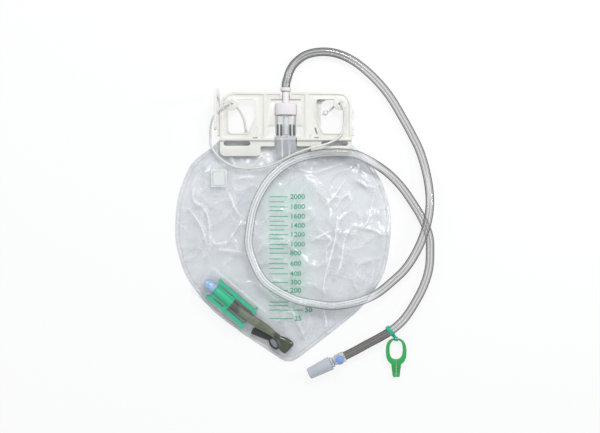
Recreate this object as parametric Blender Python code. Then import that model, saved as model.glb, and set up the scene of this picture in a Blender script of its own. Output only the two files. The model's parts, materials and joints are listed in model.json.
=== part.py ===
"""Two-litre urine drainage bag with a hanger plate, two bed hooks and a looped drainage tube.

The bag lies on its back.  +X is to the right and +Y towards the hanger, as seen from the front, and +Z
comes out of the bag's front.  The origin is under the middle of the bag, on the surface it lies on.
All sizes are in metres.
"""
import math

import bmesh
import bpy
from mathutils import Matrix, Vector

# Clearances and the line that the plate, the chamber and the inlet share
GAP = 0.0003
SEAT = 0.00035
AXIS_X = 0.0034

# Pouch: two films welded round their edge
FILM = 0.0005
WELD_WIDTH_SHARE = 0.035
CROWN = 0.006
POUCH_MIDDLE = Vector((0.0003, -0.018))
POUCH_TOP = 0.108
POUCH_RINGS = (0.965, 0.93, 0.86, 0.74, 0.56, 0.32)
POUCH_LEFT = (
    (-0.0732, 0.1080), (-0.0852, 0.0965), (-0.1050, 0.0816), (-0.1160, 0.0660), (-0.1264, 0.0372),
    (-0.1298, 0.0060), (-0.1288, -0.0216), (-0.1202, -0.0516), (-0.1080, -0.0732), (-0.0852, -0.1002),
    (-0.0504, -0.1272), (-0.0192, -0.1482), (-0.0012, -0.1600),
)
POUCH_RIGHT = (
    (0.0066, -0.1620), (0.0156, -0.1596), (0.0360, -0.1446), (0.0636, -0.1230), (0.0936, -0.0978),
    (0.1150, -0.0684), (0.1243, -0.0468), (0.1295, -0.0120), (0.1293, 0.0168), (0.1214, 0.0480),
    (0.1073, 0.0732), (0.0896, 0.0936), (0.0720, 0.1080),
)

# Mouth: where the pouch lifts over the valve sleeve
MOUTH_HALF_WIDTH = 0.0125
MOUTH_FOOT = 0.0130
MOUTH_SHOULDER = 0.0300
MOUTH_END = 0.0830
MOUTH_STRAIGHT_SHARE = 0.86

# Air vent
VENT_CENTRE = Vector((-0.0768, 0.0582))
VENT_WIDTH = 0.0192
VENT_HEIGHT = 0.0216
VENT_BORDER = 0.0024
VENT_THICKNESS = 0.0010

# Hanger plate
PLATE_HALF_WIDTH = 0.0788
PLATE_TOP = 0.1612
PLATE_CORNER = 0.0165
PLATE_BACK = 0.0044
PLATE_DEPTH = 0.0066
PLATE_SKIN = 0.0024
PLATE_WALL = 0.0020
PLATE_RIM = 0.0028
RIM_STEP = 0.0010
RIB_X = 0.0247
RIB_WIDTH = 0.0030
BAR_TOP = 0.1035
BAR_BOTTOM = 0.0849
BAR_INNER = 0.0302
BAR_FRONT_DROP = 0.0025
FORK_END = 0.0966
SLOT_HEIGHT = 0.0058
SLOT_CENTRE = 0.1000
SLOT_OUTER = 0.0745
SLOT_INNER = 0.0425
WINDOW_OUTER = 0.0684
WINDOW_INNER = 0.0366
WINDOW_FOOT = 0.0450
WINDOW_TOP = 0.1524
WINDOW_KINK = 0.1320
WINDOW_BOTTOM = 0.1122
WINDOW_LIP = 0.0014
HOLE_X = 0.0653
HOLE_Y = 0.1478
HOLE_RADIUS = 0.0026
BOSS_RADIUS = 0.0085
LATCH_X = 0.0360
LATCH_Y = 0.1122
LATCH_LENGTH = 0.0125
LATCH_WIDTH = 0.0018
LATCH_LEAN = math.radians(17.0)
PIN_HOLE_X = 0.0254
PIN_HOLE_Y = 0.1062
PIN_HOLE_RADIUS = 0.0017
CRADLE_HALF_WIDTH = 0.0205
CRADLE_LOW = 0.1090
CRADLE_HIGH = 0.1210
TSLOT_LOW = 0.1486
TSLOT_HEIGHT = 0.0040
TSLOT_HALF_WIDTH = 0.0180
BRIDGE_HALF_WIDTH = 0.0200
BRIDGE_THICKNESS = 0.0022

# Bed hooks
HINGE_OUTSET = 0.0010
HINGE_HEIGHT = 0.0022
HOOK_THICKNESS = 0.0024
HOOK_OUTER_FACE = 0.0017
HOOK_LOW = 0.1088
HOOK_TIP_LOW = 0.1120
HOOK_TOP = 0.1620
HOOK_ARCH = 0.0090
HOOK_STEM_START = 0.0027
HOOK_STEM = 0.0046
THROAT = 0.0302
HOOK_TIP = 0.0081
BARREL_RADIUS = 0.0019
BARREL_LENGTH = 0.0060
PIN_RADIUS = 0.0010
PIN_LENGTH = 0.0043
LUG_RADIUS = 0.0022
LUG_WIDTH = 0.0060
LUG_LOW_Y = 0.1130
LUG_HIGH_Y = 0.1395

# Inlet and chamber
CHAMBER_Z = 0.0078
NECK_RADIUS = 0.0044
NECK_BORE = 0.0026
NECK_TOP = 0.1616
CAP_TOP = 0.1477
CAP_LENGTH = 0.0140
CAP_HALF_WIDTH = 0.0130
CAP_HALF_DEPTH = 0.0075
CAP_WALL = 0.0010
BODY_HALF_WIDTH = 0.0124
BODY_HALF_DEPTH = 0.0070
BODY_WALL = 0.0010
BODY_BOTTOM = 0.1094
SPIGOT_LENGTH = 0.0100
DRIP_RADIUS = 0.0034
DRIP_WALL = 0.0008
VALVE_HALF_WIDTH = 0.0118
VALVE_HALF_DEPTH = 0.0048
VALVE_Z = 0.0061
VALVE_END_DEPTH = 0.0020
VALVE_END_Z = 0.0040
VALVE_LENGTH = 0.0255
COLLAR_RADIUS = 0.0064
COLLAR_LENGTH = 0.0045

# Cords
TUBE_RADIUS = 0.00515
TUBE_SPACING = 0.0210
STRING_RADIUS = 0.0013
STRING_SPACING = 0.0048
KNOT_RADIUS = 0.0030
KNOT_LENGTH = 0.0060

# Drain outlet, laid out along its own axis from the nozzle's tip towards the port
OUTLET_START = Vector((-0.0900, -0.0672))
OUTLET_TURN = math.radians(-39.8)
BARREL_START = 0.0120
BARREL_END = 0.0385
HOLDER_RADIUS = 0.0054
HOLDER_BORE = 0.0041
ARM_OFFSET = 0.0110
ARM_WIDTH = 0.0042
ARM_HEIGHT = 0.0066
ARM_START = 0.0080
ARM_END = 0.0650
FLANGE_THICKNESS = 0.0016
FLANGE_HEIGHT = 0.0088
FLANGE_WIDTH = 0.0094
CROSS_HALF_WIDTH = 0.0145
WEB_THICKNESS = 0.0030
NOZZLE_TIP = -0.0030
NOZZLE_RADIUS = 0.0060
OUTLET_TUBE_RADIUS = 0.0056
STRAP_START = Vector((-0.0372, -0.1240))
STRAP_END = Vector((-0.0140, -0.1335))
STRAP_BAND = 0.0020
PORT_HALF_HEIGHT = 0.0042
POCKET_START = -0.0120
POCKET_END = 0.0760
POCKET_HALF_WIDTH = 0.0200
POCKET_FLAT_SHARE = 0.84

# Catheter end
PORT_RADIUS = 0.0064
PORT_LENGTH = 0.0142
PORT_NECK = 0.0048
PORT_BORE = 0.0022
BOSS_OUTER = 0.0056
BOSS_HEIGHT = 0.0085
SEPTUM_RADIUS = 0.0043
SEPTUM_DEPTH = 0.0024
FLANGE_RADIUS = 0.0062
TAPER_START = 0.0052
TAPER_END = 0.0034
TAPER_LENGTH = 0.0205
COVER_LENGTH = 0.0294
COVER_RADIUS = 0.0082
COVER_END_RADIUS = 0.0066
COVER_WALL = 0.0014
COVER_FIT = 0.0004

# Sheet clip and its strap
STRAP_FROM_END = 0.0622
STRAP_WIDTH = 0.0048
STRAP_THICKNESS = 0.0009
EYE_FROM_TUBE = 0.0130
EYE_RADIUS = 0.0027
EYE_BORE = 0.0017
EYE_HALF_LENGTH = 0.0020
EYE_LIFT = 0.0004
CLIP_WIDTH = 0.0245
CLIP_LENGTH = 0.0320
CLIP_THICKNESS = 0.0040
CLIP_WALL = 0.0042
CLIP_BAR = 0.0020
CLIP_FOOT_WALL = 0.0066
CLIP_TAIL = 0.0145
CLIP_NOTCH = 0.0044


def clear_scene() -> None:
    """Remove every object of the open scene."""
    for item in list(bpy.data.objects):
        bpy.data.objects.remove(item, do_unlink=True)


def finish(name: str, colour: tuple, roughness: float) -> bpy.types.Material:
    """Make a plain Principled material."""
    made = bpy.data.materials.new(name)
    made.use_nodes = True
    shader = made.node_tree.nodes["Principled BSDF"]
    shader.inputs["Base Color"].default_value = (*colour, 1.0)
    shader.inputs["Roughness"].default_value = roughness
    shader.inputs["Metallic"].default_value = 0.0
    return made


def face_outwards(bm: bmesh.types.BMesh) -> None:
    """Turn the faces out of a closed shape, and upwards on an open sheet."""
    bmesh.ops.recalc_face_normals(bm, faces=bm.faces)
    if any(edge.is_boundary for edge in bm.edges):
        inward = sum(face.normal.z * face.calc_area() for face in bm.faces) < 0.0
    else:
        inward = bm.calc_volume(signed=True) < 0.0
    if inward:
        bmesh.ops.reverse_faces(bm, faces=bm.faces)


def add_object(name: str, bm: bmesh.types.BMesh, look: bpy.types.Material,
               origin: tuple = (0.0, 0.0, 0.0)) -> bpy.types.Object:
    """Turn a bmesh in world places into an object whose origin is at the given point."""
    face_outwards(bm)
    bmesh.ops.translate(bm, verts=bm.verts, vec=-Vector(origin))
    mesh = bpy.data.meshes.new(name)
    bm.to_mesh(mesh)
    bm.free()
    mesh.shade_smooth()
    mesh.set_sharp_from_angle(angle=math.radians(35.0))
    mesh.materials.append(look)
    made = bpy.data.objects.new(name, mesh)
    made.location = origin
    bpy.context.scene.collection.objects.link(made)
    return made


def boolean(target: bpy.types.Object, bm: bmesh.types.BMesh, label: str, operation: str) -> None:
    """Join or cut a shape into an object with a live, exact Boolean."""
    tool = add_object(f"{target.name}_{label}", bm, target.data.materials[0])
    tool.hide_render = True
    tool.display_type = 'WIRE'
    step = target.modifiers.new(label, 'BOOLEAN')
    step.operation = operation
    step.solver = 'EXACT'
    step.object = tool


def fillet(corners: list, radii: list, segments: int = 3) -> list:
    """Round the corners of a flat outline; a radius of 0 leaves the corner sharp."""
    rounded = []
    count = len(corners)
    for index, radius in enumerate(radii):
        here = Vector(corners[index])
        before = (Vector(corners[index - 1]) - here)
        after = (Vector(corners[(index + 1) % count]) - here)
        if radius <= 0.0:
            rounded.append(here)
            continue
        half_angle = before.angle(after) / 2.0
        reach = radius / math.tan(half_angle)
        reach = min(reach, 0.48 * before.length, 0.48 * after.length)
        start = here + before.normalized() * reach
        end = here + after.normalized() * reach
        centre_line = (before.normalized() + after.normalized()).normalized()
        centre = here + centre_line * (reach / math.cos(half_angle))
        first = start - centre
        sweep = first.angle_signed(end - centre)
        for step in range(segments + 1):
            turn = Matrix.Rotation(-sweep * step / segments, 2)
            rounded.append(centre + turn @ first)
    return rounded


def mirrored(outline: list) -> list:
    """Mirror a flat outline left to right and keep its winding."""
    return [Vector((-x, y)) for x, y in reversed([tuple(p) for p in outline])]


def box_outline(left: float, right: float, low: float, high: float) -> list:
    """Give the four corners of a rectangle."""
    return [Vector((left, low)), Vector((right, low)), Vector((right, high)), Vector((left, high))]


def circle_outline(x: float, y: float, radius: float, sides: int) -> list:
    """Give the corners of a regular polygon round a point."""
    return [Vector((x + radius * math.cos(math.tau * i / sides), y + radius * math.sin(math.tau * i / sides)))
            for i in range(sides)]


def prism(bm: bmesh.types.BMesh, outline: list, low: float, high: float,
          place: Matrix = Matrix.Identity(4)) -> None:
    """Add a closed prism over a flat outline, then put it in its place."""
    base = bm.faces.new([bm.verts.new((p[0], p[1], low)) for p in outline])
    bottom = list(base.verts)
    grown = bmesh.ops.extrude_face_region(bm, geom=[base])
    top = [item for item in grown["geom"] if isinstance(item, bmesh.types.BMVert)]
    bmesh.ops.translate(bm, verts=top, vec=(0.0, 0.0, high - low))
    bmesh.ops.transform(bm, matrix=place, verts=bottom + top)


def ring_of(bm: bmesh.types.BMesh, points: list) -> list:
    """Add a loop of vertices."""
    return [bm.verts.new(p) for p in points]


def span(bm: bmesh.types.BMesh, first: list, second: list) -> None:
    """Join two loops of the same length with a band of quads, vertex to vertex."""
    for i in range(len(first)):
        bm.faces.new((first[i - 1], first[i], second[i], second[i - 1]))


def skin(bm: bmesh.types.BMesh, loops: list, closed: bool = False) -> None:
    """Span a row of loops, and close it end to end or with a cap at each end."""
    rings = [ring_of(bm, loop) for loop in loops]
    for first, second in zip(rings, rings[1:]):
        span(bm, first, second)
    if closed:
        span(bm, rings[-1], rings[0])
    else:
        bm.faces.new(rings[0])
        bm.faces.new(rings[-1])


def oval(x: float, y: float, z: float, half_width: float, half_depth: float, sides: int = 24,
         power: float = 2.4) -> list:
    """Give an upright oval loop across the Y axis; a power over 2 squares it off."""
    points = []
    for i in range(sides):
        angle = math.tau * i / sides
        c, s = math.cos(angle), math.sin(angle)
        points.append(Vector((x + half_width * math.copysign(abs(c) ** (2.0 / power), c), y,
                              z + half_depth * math.copysign(abs(s) ** (2.0 / power), s))))
    return points


def turned(bm: bmesh.types.BMesh, profile: list, place: Matrix, sides: int = 16, closed: bool = False) -> None:
    """Add a round solid: the profile's (distance along, radius) pairs spun about the local X axis."""
    loops = [[place @ Vector((along, radius * math.cos(math.tau * i / sides),
                              radius * math.sin(math.tau * i / sides))) for i in range(sides)]
             for along, radius in profile]
    skin(bm, loops, closed)


def smooth_route(points: list, closed: bool, steps: int) -> list:
    """Read points from a smooth curve through the given ones."""
    count = len(points)
    spans = count if closed else count - 1
    route = []
    for span in range(spans):
        if closed:
            a, b, c, d = (Vector(points[(span + k) % count]) for k in (-1, 0, 1, 2))
        else:
            b, c = Vector(points[span]), Vector(points[span + 1])
            a = Vector(points[span - 1]) if span else b * 2.0 - c
            d = Vector(points[span + 2]) if span + 2 < count else c * 2.0 - b
        for step in range(steps):
            t = step / steps
            route.append(0.5 * (2.0 * b + (c - a) * t + (2.0 * a - 5.0 * b + 4.0 * c - d) * t * t
                                + (3.0 * b - a - 3.0 * c + d) * t ** 3))
    if not closed:
        route.append(Vector(points[-1]))
    return route


def even_route(points: list, spacing: float) -> list:
    """Read evenly spaced points from the smooth curve through the given ones."""
    fine = smooth_route(points, False, 24)
    lengths = [0.0]
    for a, b in zip(fine, fine[1:]):
        lengths.append(lengths[-1] + (b - a).length)
    count = max(2, round(lengths[-1] / spacing))
    route = []
    index = 0
    for step in range(count + 1):
        target = lengths[-1] * step / count
        while index < len(fine) - 2 and lengths[index + 1] < target:
            index += 1
        share = (target - lengths[index]) / max(lengths[index + 1] - lengths[index], 1e-9)
        route.append(fine[index].lerp(fine[index + 1], min(max(share, 0.0), 1.0)))
    return route


def cord_points(points: list, spacing: float) -> list:
    """Read a cord's points: a straight lead at each end and evenly spaced points between them."""
    return [Vector(points[0])] + even_route(list(points[1:-1]), spacing) + [Vector(points[-1])]


def cord(name: str, points: list, radius: float, spacing: float, look: bpy.types.Material) -> bpy.types.Object:
    """Lay a free cord along its route as a bevelled curve with filled caps."""
    curve = bpy.data.curves.new(name, 'CURVE')
    curve.dimensions = '3D'
    curve.bevel_depth = radius
    curve.bevel_resolution = 2
    curve.use_fill_caps = True
    route = cord_points(points, spacing)
    spline = curve.splines.new('POLY')
    spline.points.add(len(route) - 1)
    for knot, place in zip(spline.points, route):
        knot.co = (*place, 1.0)
    curve.materials.append(look)
    made = bpy.data.objects.new(name, curve)
    bpy.context.scene.collection.objects.link(made)
    return made


# The pouch

def pouch_outline() -> list:
    """Give the weld's outer edge, counter-clockwise from the mouth's left shoulder."""
    right = [MOUTH_SHOULDER * 1.3, MOUTH_SHOULDER, 0.0210, MOUTH_FOOT, MOUTH_HALF_WIDTH, 0.0065]
    steps = right + [0.0] + [-x for x in reversed(right)]
    sides = smooth_route(list(POUCH_LEFT) + list(POUCH_RIGHT), False, 3)
    return sides + [Vector((AXIS_X + x, POUCH_TOP)) for x in steps]


def pouch_share(x: float, y: float) -> float:
    """Give how far out a point lies: 0 at the pouch's middle and 1 on its edge."""
    outline = pouch_outline()
    ray = Vector((x, y)) - POUCH_MIDDLE
    if ray.length < 1e-6:
        return 0.0
    for a, b in zip(outline, outline[1:] + outline[:1]):
        edge = b - a
        across = ray.x * edge.y - ray.y * edge.x
        if abs(across) < 1e-12:
            continue
        start = a - POUCH_MIDDLE
        along = (start.x * edge.y - start.y * edge.x) / across
        place = (start.x * ray.y - start.y * ray.x) / across
        if along > 0.0 and -1e-6 <= place <= 1.0 + 1e-6:
            return 1.0 / along
    return 1.0


def crown_height(share: float) -> float:
    """Give the height of the front film's outer face at a share of the way out."""
    weld = 2.0 * FILM + GAP
    inside = 1.0 - (share / (1.0 - WELD_WIDTH_SHARE)) ** 2
    return weld + CROWN * math.sqrt(max(inside, 0.0))


def mouth_height(x: float, y: float) -> float:
    """Give the height that the front film needs to clear the valve sleeve."""
    open_height = VALVE_Z + VALVE_HALF_DEPTH + FILM + 2.0 * SEAT
    end_height = VALVE_END_Z + VALVE_END_DEPTH + FILM + 4.0 * SEAT
    share = min(max((POUCH_TOP - y) / (POUCH_TOP - MOUTH_END), 0.0), 1.0)
    height = open_height + (end_height - open_height) * share
    beside = (abs(x - AXIS_X) - MOUTH_HALF_WIDTH) / (MOUTH_FOOT - MOUTH_HALF_WIDTH)
    return height if beside < 0.5 and y > MOUTH_END else 0.0


def pouch_spot(point: Vector, share: float) -> Vector:
    """Give a point of the outline drawn in to a share; the mouth's points first run straight down."""
    flat = POUCH_MIDDLE + (point - POUCH_MIDDLE) * share
    if point.y > POUCH_TOP - 1e-6 and abs(point.x - AXIS_X) < MOUTH_SHOULDER - 1e-6:
        flat.x = AXIS_X + (point.x - AXIS_X) * min(share / MOUTH_STRAIGHT_SHARE, 1.0)
    return flat


def film_top(x: float, y: float) -> float:
    """Give the height of the front film's outer face at a place on the pouch."""
    return crown_height(pouch_share(x, y))


def make_back_film(look: bpy.types.Material) -> None:
    """Make the flat white back film."""
    bm = bmesh.new()
    prism(bm, pouch_outline(), 0.0, FILM)
    add_object("back_film", bm, look)


def make_front_film(look: bpy.types.Material) -> None:
    """Make the clear front film: a flat weld band that rises to a low pillow, with a mouth at the top."""
    outline = pouch_outline()
    bm = bmesh.new()
    rings = []
    for share in (1.0,) + POUCH_RINGS:
        loop = []
        for point in outline:
            flat = pouch_spot(point, share)
            height = max(crown_height(share), mouth_height(flat.x, flat.y))
            loop.append(Vector((flat.x, flat.y, height)))
        rings.append(ring_of(bm, loop))
    for outer, inner in zip(rings, rings[1:]):
        span(bm, outer, inner)
    middle = bm.verts.new((POUCH_MIDDLE.x, POUCH_MIDDLE.y, crown_height(0.0)))
    last = rings[-1]
    for i in range(len(last)):
        bm.faces.new((last[i - 1], last[i], middle))
    made = add_object("front_film", bm, look)
    wall = made.modifiers.new("film", 'SOLIDIFY')
    wall.thickness = FILM
    wall.offset = -1.0


def make_air_vent(frame_look: bpy.types.Material, filter_look: bpy.types.Material) -> None:
    """Make the vent's square frame and the filter disc inside it, seated on the front film."""
    seat = max(film_top(VENT_CENTRE.x + dx, VENT_CENTRE.y + dy)
               for dx in (-VENT_WIDTH / 2.0, VENT_WIDTH / 2.0) for dy in (-VENT_HEIGHT / 2.0, VENT_HEIGHT / 2.0))
    base = seat + SEAT

    def square(inset: float, corner: float) -> list:
        corners = box_outline(VENT_CENTRE.x - VENT_WIDTH / 2.0 + inset, VENT_CENTRE.x + VENT_WIDTH / 2.0 - inset,
                              VENT_CENTRE.y - VENT_HEIGHT / 2.0 + inset, VENT_CENTRE.y + VENT_HEIGHT / 2.0 - inset)
        return fillet(corners, [corner] * 4)

    outer, inner = square(0.0, 0.0016), square(VENT_BORDER, 0.0024)
    bm = bmesh.new()
    top = base + VENT_THICKNESS
    skin(bm, [[Vector((*p, base)) for p in outer], [Vector((*p, top)) for p in outer],
              [Vector((*p, top)) for p in inner], [Vector((*p, base)) for p in inner]], closed=True)
    add_object("air_vent_frame", bm, frame_look)
    bm = bmesh.new()
    prism(bm, square(VENT_BORDER + GAP, 0.0022), base, base + 0.6 * VENT_THICKNESS)
    add_object("air_vent_filter", bm, filter_look)


# The hanger plate

def plate_half() -> tuple:
    """Give the right half of the plate's edge from the top middle down and into the fork, with its radii."""
    neck = NECK_RADIUS + GAP
    body = CAP_HALF_WIDTH + GAP
    tslot_top = TSLOT_LOW + TSLOT_HEIGHT
    corners = [
        (neck, PLATE_TOP, 0.0), (PLATE_HALF_WIDTH, PLATE_TOP, PLATE_CORNER),
        (PLATE_HALF_WIDTH, BAR_BOTTOM, 0.0060), (BAR_INNER, BAR_BOTTOM, 0.0045), (BAR_INNER, FORK_END, 0.0015),
        (body, FORK_END, 0.0010), (body, CRADLE_LOW, 0.0), (CRADLE_HALF_WIDTH, CRADLE_LOW, 0.0010),
        (CRADLE_HALF_WIDTH, CRADLE_HIGH, 0.0010), (body, CRADLE_HIGH, 0.0), (body, TSLOT_LOW, 0.0),
        (TSLOT_HALF_WIDTH, TSLOT_LOW, 0.0006), (TSLOT_HALF_WIDTH, tslot_top, 0.0006), (neck, tslot_top, 0.0),
    ]
    return [(x, y) for x, y, _ in corners], [radius for _, _, radius in corners]


def window_outline(grow: float) -> list:
    """Give the right window's outline, grown by a lip when asked."""
    corners = [(WINDOW_OUTER + grow, WINDOW_BOTTOM - grow), (WINDOW_OUTER + grow, WINDOW_TOP + grow),
               (WINDOW_INNER - grow, WINDOW_TOP + grow), (WINDOW_INNER - grow, WINDOW_KINK),
               (WINDOW_FOOT - grow, WINDOW_BOTTOM - grow)]
    return fillet(corners, [0.0040 + grow, 0.0040 + grow, 0.0030 + grow, 0.0060, 0.0030 + grow])


def both_sides(bm: bmesh.types.BMesh, outline: list, low: float, high: float) -> None:
    """Add the same prism on the right and, mirrored, on the left of the plate's axis."""
    place = Matrix.Translation((AXIS_X, 0.0, 0.0))
    prism(bm, outline, low, high, place)
    prism(bm, mirrored(outline), low, high, place)


def latch_outline() -> list:
    """Give the right latch slot: a leaning slot with a short foot at its lower end."""
    lean = math.tan(LATCH_LEAN) * LATCH_LENGTH
    low, high = LATCH_Y - LATCH_LENGTH / 2.0, LATCH_Y + LATCH_LENGTH / 2.0
    left, right = LATCH_X + lean / 2.0, LATCH_X + lean / 2.0 + LATCH_WIDTH
    foot = left - 2.2 * LATCH_WIDTH
    return [Vector(p) for p in ((right, low), (right - lean, high), (left - lean, high),
                                (left - 0.12 * lean, low + LATCH_WIDTH), (foot, low + LATCH_WIDTH), (foot, low))]


def lug_outline() -> list:
    """Give a hinge lug's section for the right side, about its hinge axis."""
    arc = [Vector((-LUG_RADIUS * math.sin(math.pi * (0.5 + i / 8.0)), LUG_RADIUS * math.cos(math.pi * (0.5 + i / 8.0))))
           for i in range(9)]
    inner, high = 0.0024, 0.0024
    return arc + [Vector((0.0, high)), Vector((-inner, high))]


def along_y(x: float, z: float) -> Matrix:
    """Give the place of a prism that runs along +Y, its outline's x and y becoming world X and Z."""
    return Matrix(((1, 0, 0, x), (0, 0, 1, 0), (0, 1, 0, z), (0, 0, 0, 1)))


def make_hanger_plate(look: bpy.types.Material) -> None:
    """Make the moulded plate: an open-backed tray with a raised rim, ribs, windows, slots and hinge lugs."""
    corners, radii = plate_half()
    right = fillet(corners, radii)
    front = PLATE_BACK + PLATE_DEPTH
    panel = front - RIM_STEP
    skin_back = panel - PLATE_SKIN + RIM_STEP
    neck = NECK_RADIUS + GAP
    bm = bmesh.new()
    both_sides(bm, right, PLATE_BACK, front)
    plate = add_object("hanger_plate", bm, look)

    bm = bmesh.new()
    bridge_top = CHAMBER_Z - NECK_RADIUS - GAP
    prism(bm, box_outline(-BRIDGE_HALF_WIDTH, BRIDGE_HALF_WIDTH, TSLOT_LOW + TSLOT_HEIGHT, PLATE_TOP - PLATE_RIM),
          bridge_top - BRIDGE_THICKNESS, bridge_top, Matrix.Translation((AXIS_X, 0.0, 0.0)))
    boolean(plate, bm, "bridge", 'UNION')
    bm = bmesh.new()
    both_sides(bm, box_outline(neck + PLATE_WALL, BRIDGE_HALF_WIDTH, TSLOT_LOW + TSLOT_HEIGHT + PLATE_WALL,
                               PLATE_TOP - PLATE_RIM - PLATE_WALL), bridge_top - BRIDGE_THICKNESS / 2.0,
               PLATE_BACK + PLATE_WALL)
    boolean(plate, bm, "bridge_feet", 'UNION')

    bm = bmesh.new()
    pocket_inner = RIB_X - RIB_WIDTH / 2.0
    outer = PLATE_HALF_WIDTH - PLATE_WALL
    pocket = fillet([(outer, BAR_TOP + PLATE_WALL), (outer, PLATE_TOP - PLATE_WALL),
                     (pocket_inner, PLATE_TOP - PLATE_WALL), (pocket_inner, BAR_TOP + PLATE_WALL)],
                    [0.0030, PLATE_CORNER - PLATE_WALL, 0.0010, 0.0010])
    both_sides(bm, pocket, PLATE_BACK - 0.001, skin_back)
    boolean(plate, bm, "back_pockets", 'DIFFERENCE')

    bm = bmesh.new()
    bar = box_outline(CAP_HALF_WIDTH * 0.5, PLATE_HALF_WIDTH + 0.001, BAR_BOTTOM - 0.001, BAR_TOP)
    both_sides(bm, bar, front - BAR_FRONT_DROP, front + 0.001)
    both_sides(bm, bar, PLATE_BACK - 0.001, PLATE_BACK + 0.0005)
    boolean(plate, bm, "bar_faces", 'DIFFERENCE')

    bm = bmesh.new()
    low = BAR_TOP + PLATE_RIM
    rim_x = PLATE_HALF_WIDTH - PLATE_RIM
    both_sides(bm, fillet([(rim_x, low), (rim_x, PLATE_TOP - PLATE_RIM), (RIB_X + RIB_WIDTH / 2.0, PLATE_TOP - PLATE_RIM),
                           (RIB_X + RIB_WIDTH / 2.0, low)], [0.002, PLATE_CORNER - PLATE_RIM, 0.002, 0.002]),
               panel, front + 0.001)
    both_sides(bm, fillet([(RIB_X - RIB_WIDTH / 2.0, low), (RIB_X - RIB_WIDTH / 2.0, PLATE_TOP - PLATE_RIM),
                           (neck + PLATE_WALL, PLATE_TOP - PLATE_RIM), (neck + PLATE_WALL, low)],
                          [0.001, 0.002, 0.001, 0.001]), panel, front + 0.001)
    boolean(plate, bm, "front_panels", 'DIFFERENCE')

    bm = bmesh.new()
    both_sides(bm, window_outline(WINDOW_LIP), skin_back + 0.0004, front - 0.0003)
    boolean(plate, bm, "window_lips", 'UNION')
    bm = bmesh.new()
    both_sides(bm, window_outline(0.0), PLATE_BACK - 0.001, front + 0.001)
    slot_radius = SLOT_HEIGHT / 2.0 - 0.0001
    slot = fillet(box_outline(SLOT_INNER, SLOT_OUTER, SLOT_CENTRE - SLOT_HEIGHT / 2.0, SLOT_CENTRE + SLOT_HEIGHT / 2.0),
                  [slot_radius] * 4)
    both_sides(bm, slot, PLATE_BACK - 0.001, front + 0.001)
    both_sides(bm, latch_outline(), PLATE_BACK - 0.001, front + 0.001)
    both_sides(bm, circle_outline(PIN_HOLE_X + RIB_WIDTH, PIN_HOLE_Y + 0.002, PIN_HOLE_RADIUS, 10),
               PLATE_BACK - 0.001, front + 0.001)
    boolean(plate, bm, "windows", 'DIFFERENCE')

    bm = bmesh.new()
    both_sides(bm, circle_outline(HOLE_X, HOLE_Y, BOSS_RADIUS, 20), skin_back + 0.0002, front - 0.0001)
    boolean(plate, bm, "bosses", 'UNION')
    bm = bmesh.new()
    both_sides(bm, circle_outline(HOLE_X, HOLE_Y, HOLE_RADIUS, 16), PLATE_BACK - 0.001, front + 0.001)
    boolean(plate, bm, "string_holes", 'DIFFERENCE')

    bm = bmesh.new()
    bores = bmesh.new()
    for side in (-1.0, 1.0):
        axis_x = AXIS_X + side * (PLATE_HALF_WIDTH + HINGE_OUTSET)
        for middle in (LUG_LOW_Y, LUG_HIGH_Y):
            outline = lug_outline() if side > 0.0 else mirrored(lug_outline())
            prism(bm, outline, middle - LUG_WIDTH / 2.0, middle + LUG_WIDTH / 2.0, along_y(axis_x, HINGE_HEIGHT))
            prism(bores, circle_outline(0.0, 0.0, PIN_RADIUS + GAP, 12), middle - LUG_WIDTH / 2.0 - 0.001,
                  middle + LUG_WIDTH / 2.0 + 0.001, along_y(axis_x, HINGE_HEIGHT))
    boolean(plate, bm, "lugs", 'UNION')
    boolean(plate, bores, "lug_bores", 'DIFFERENCE')


# The bed hooks

def hook_outline() -> list:
    """Give the hook's face in its own plane: distance from the hinge axis, and height up the plate."""
    reach = HOOK_STEM_START + HOOK_STEM + THROAT + HOOK_TIP
    stem_end = HOOK_STEM_START + HOOK_STEM
    throat_end = stem_end + THROAT
    arch = HOOK_TOP - HOOK_ARCH
    corners = [(HOOK_STEM_START, HOOK_LOW), (stem_end, HOOK_LOW), (stem_end, arch), (throat_end, arch),
               (throat_end, HOOK_TIP_LOW), (reach, HOOK_TIP_LOW), (reach, HOOK_TOP), (HOOK_STEM_START, HOOK_TOP)]
    radii = [0.0010, 0.0015, 0.0080, 0.0080, 0.0030, 0.0030, 0.0120, 0.0040]
    return fillet(corners, radii, 4)


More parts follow.
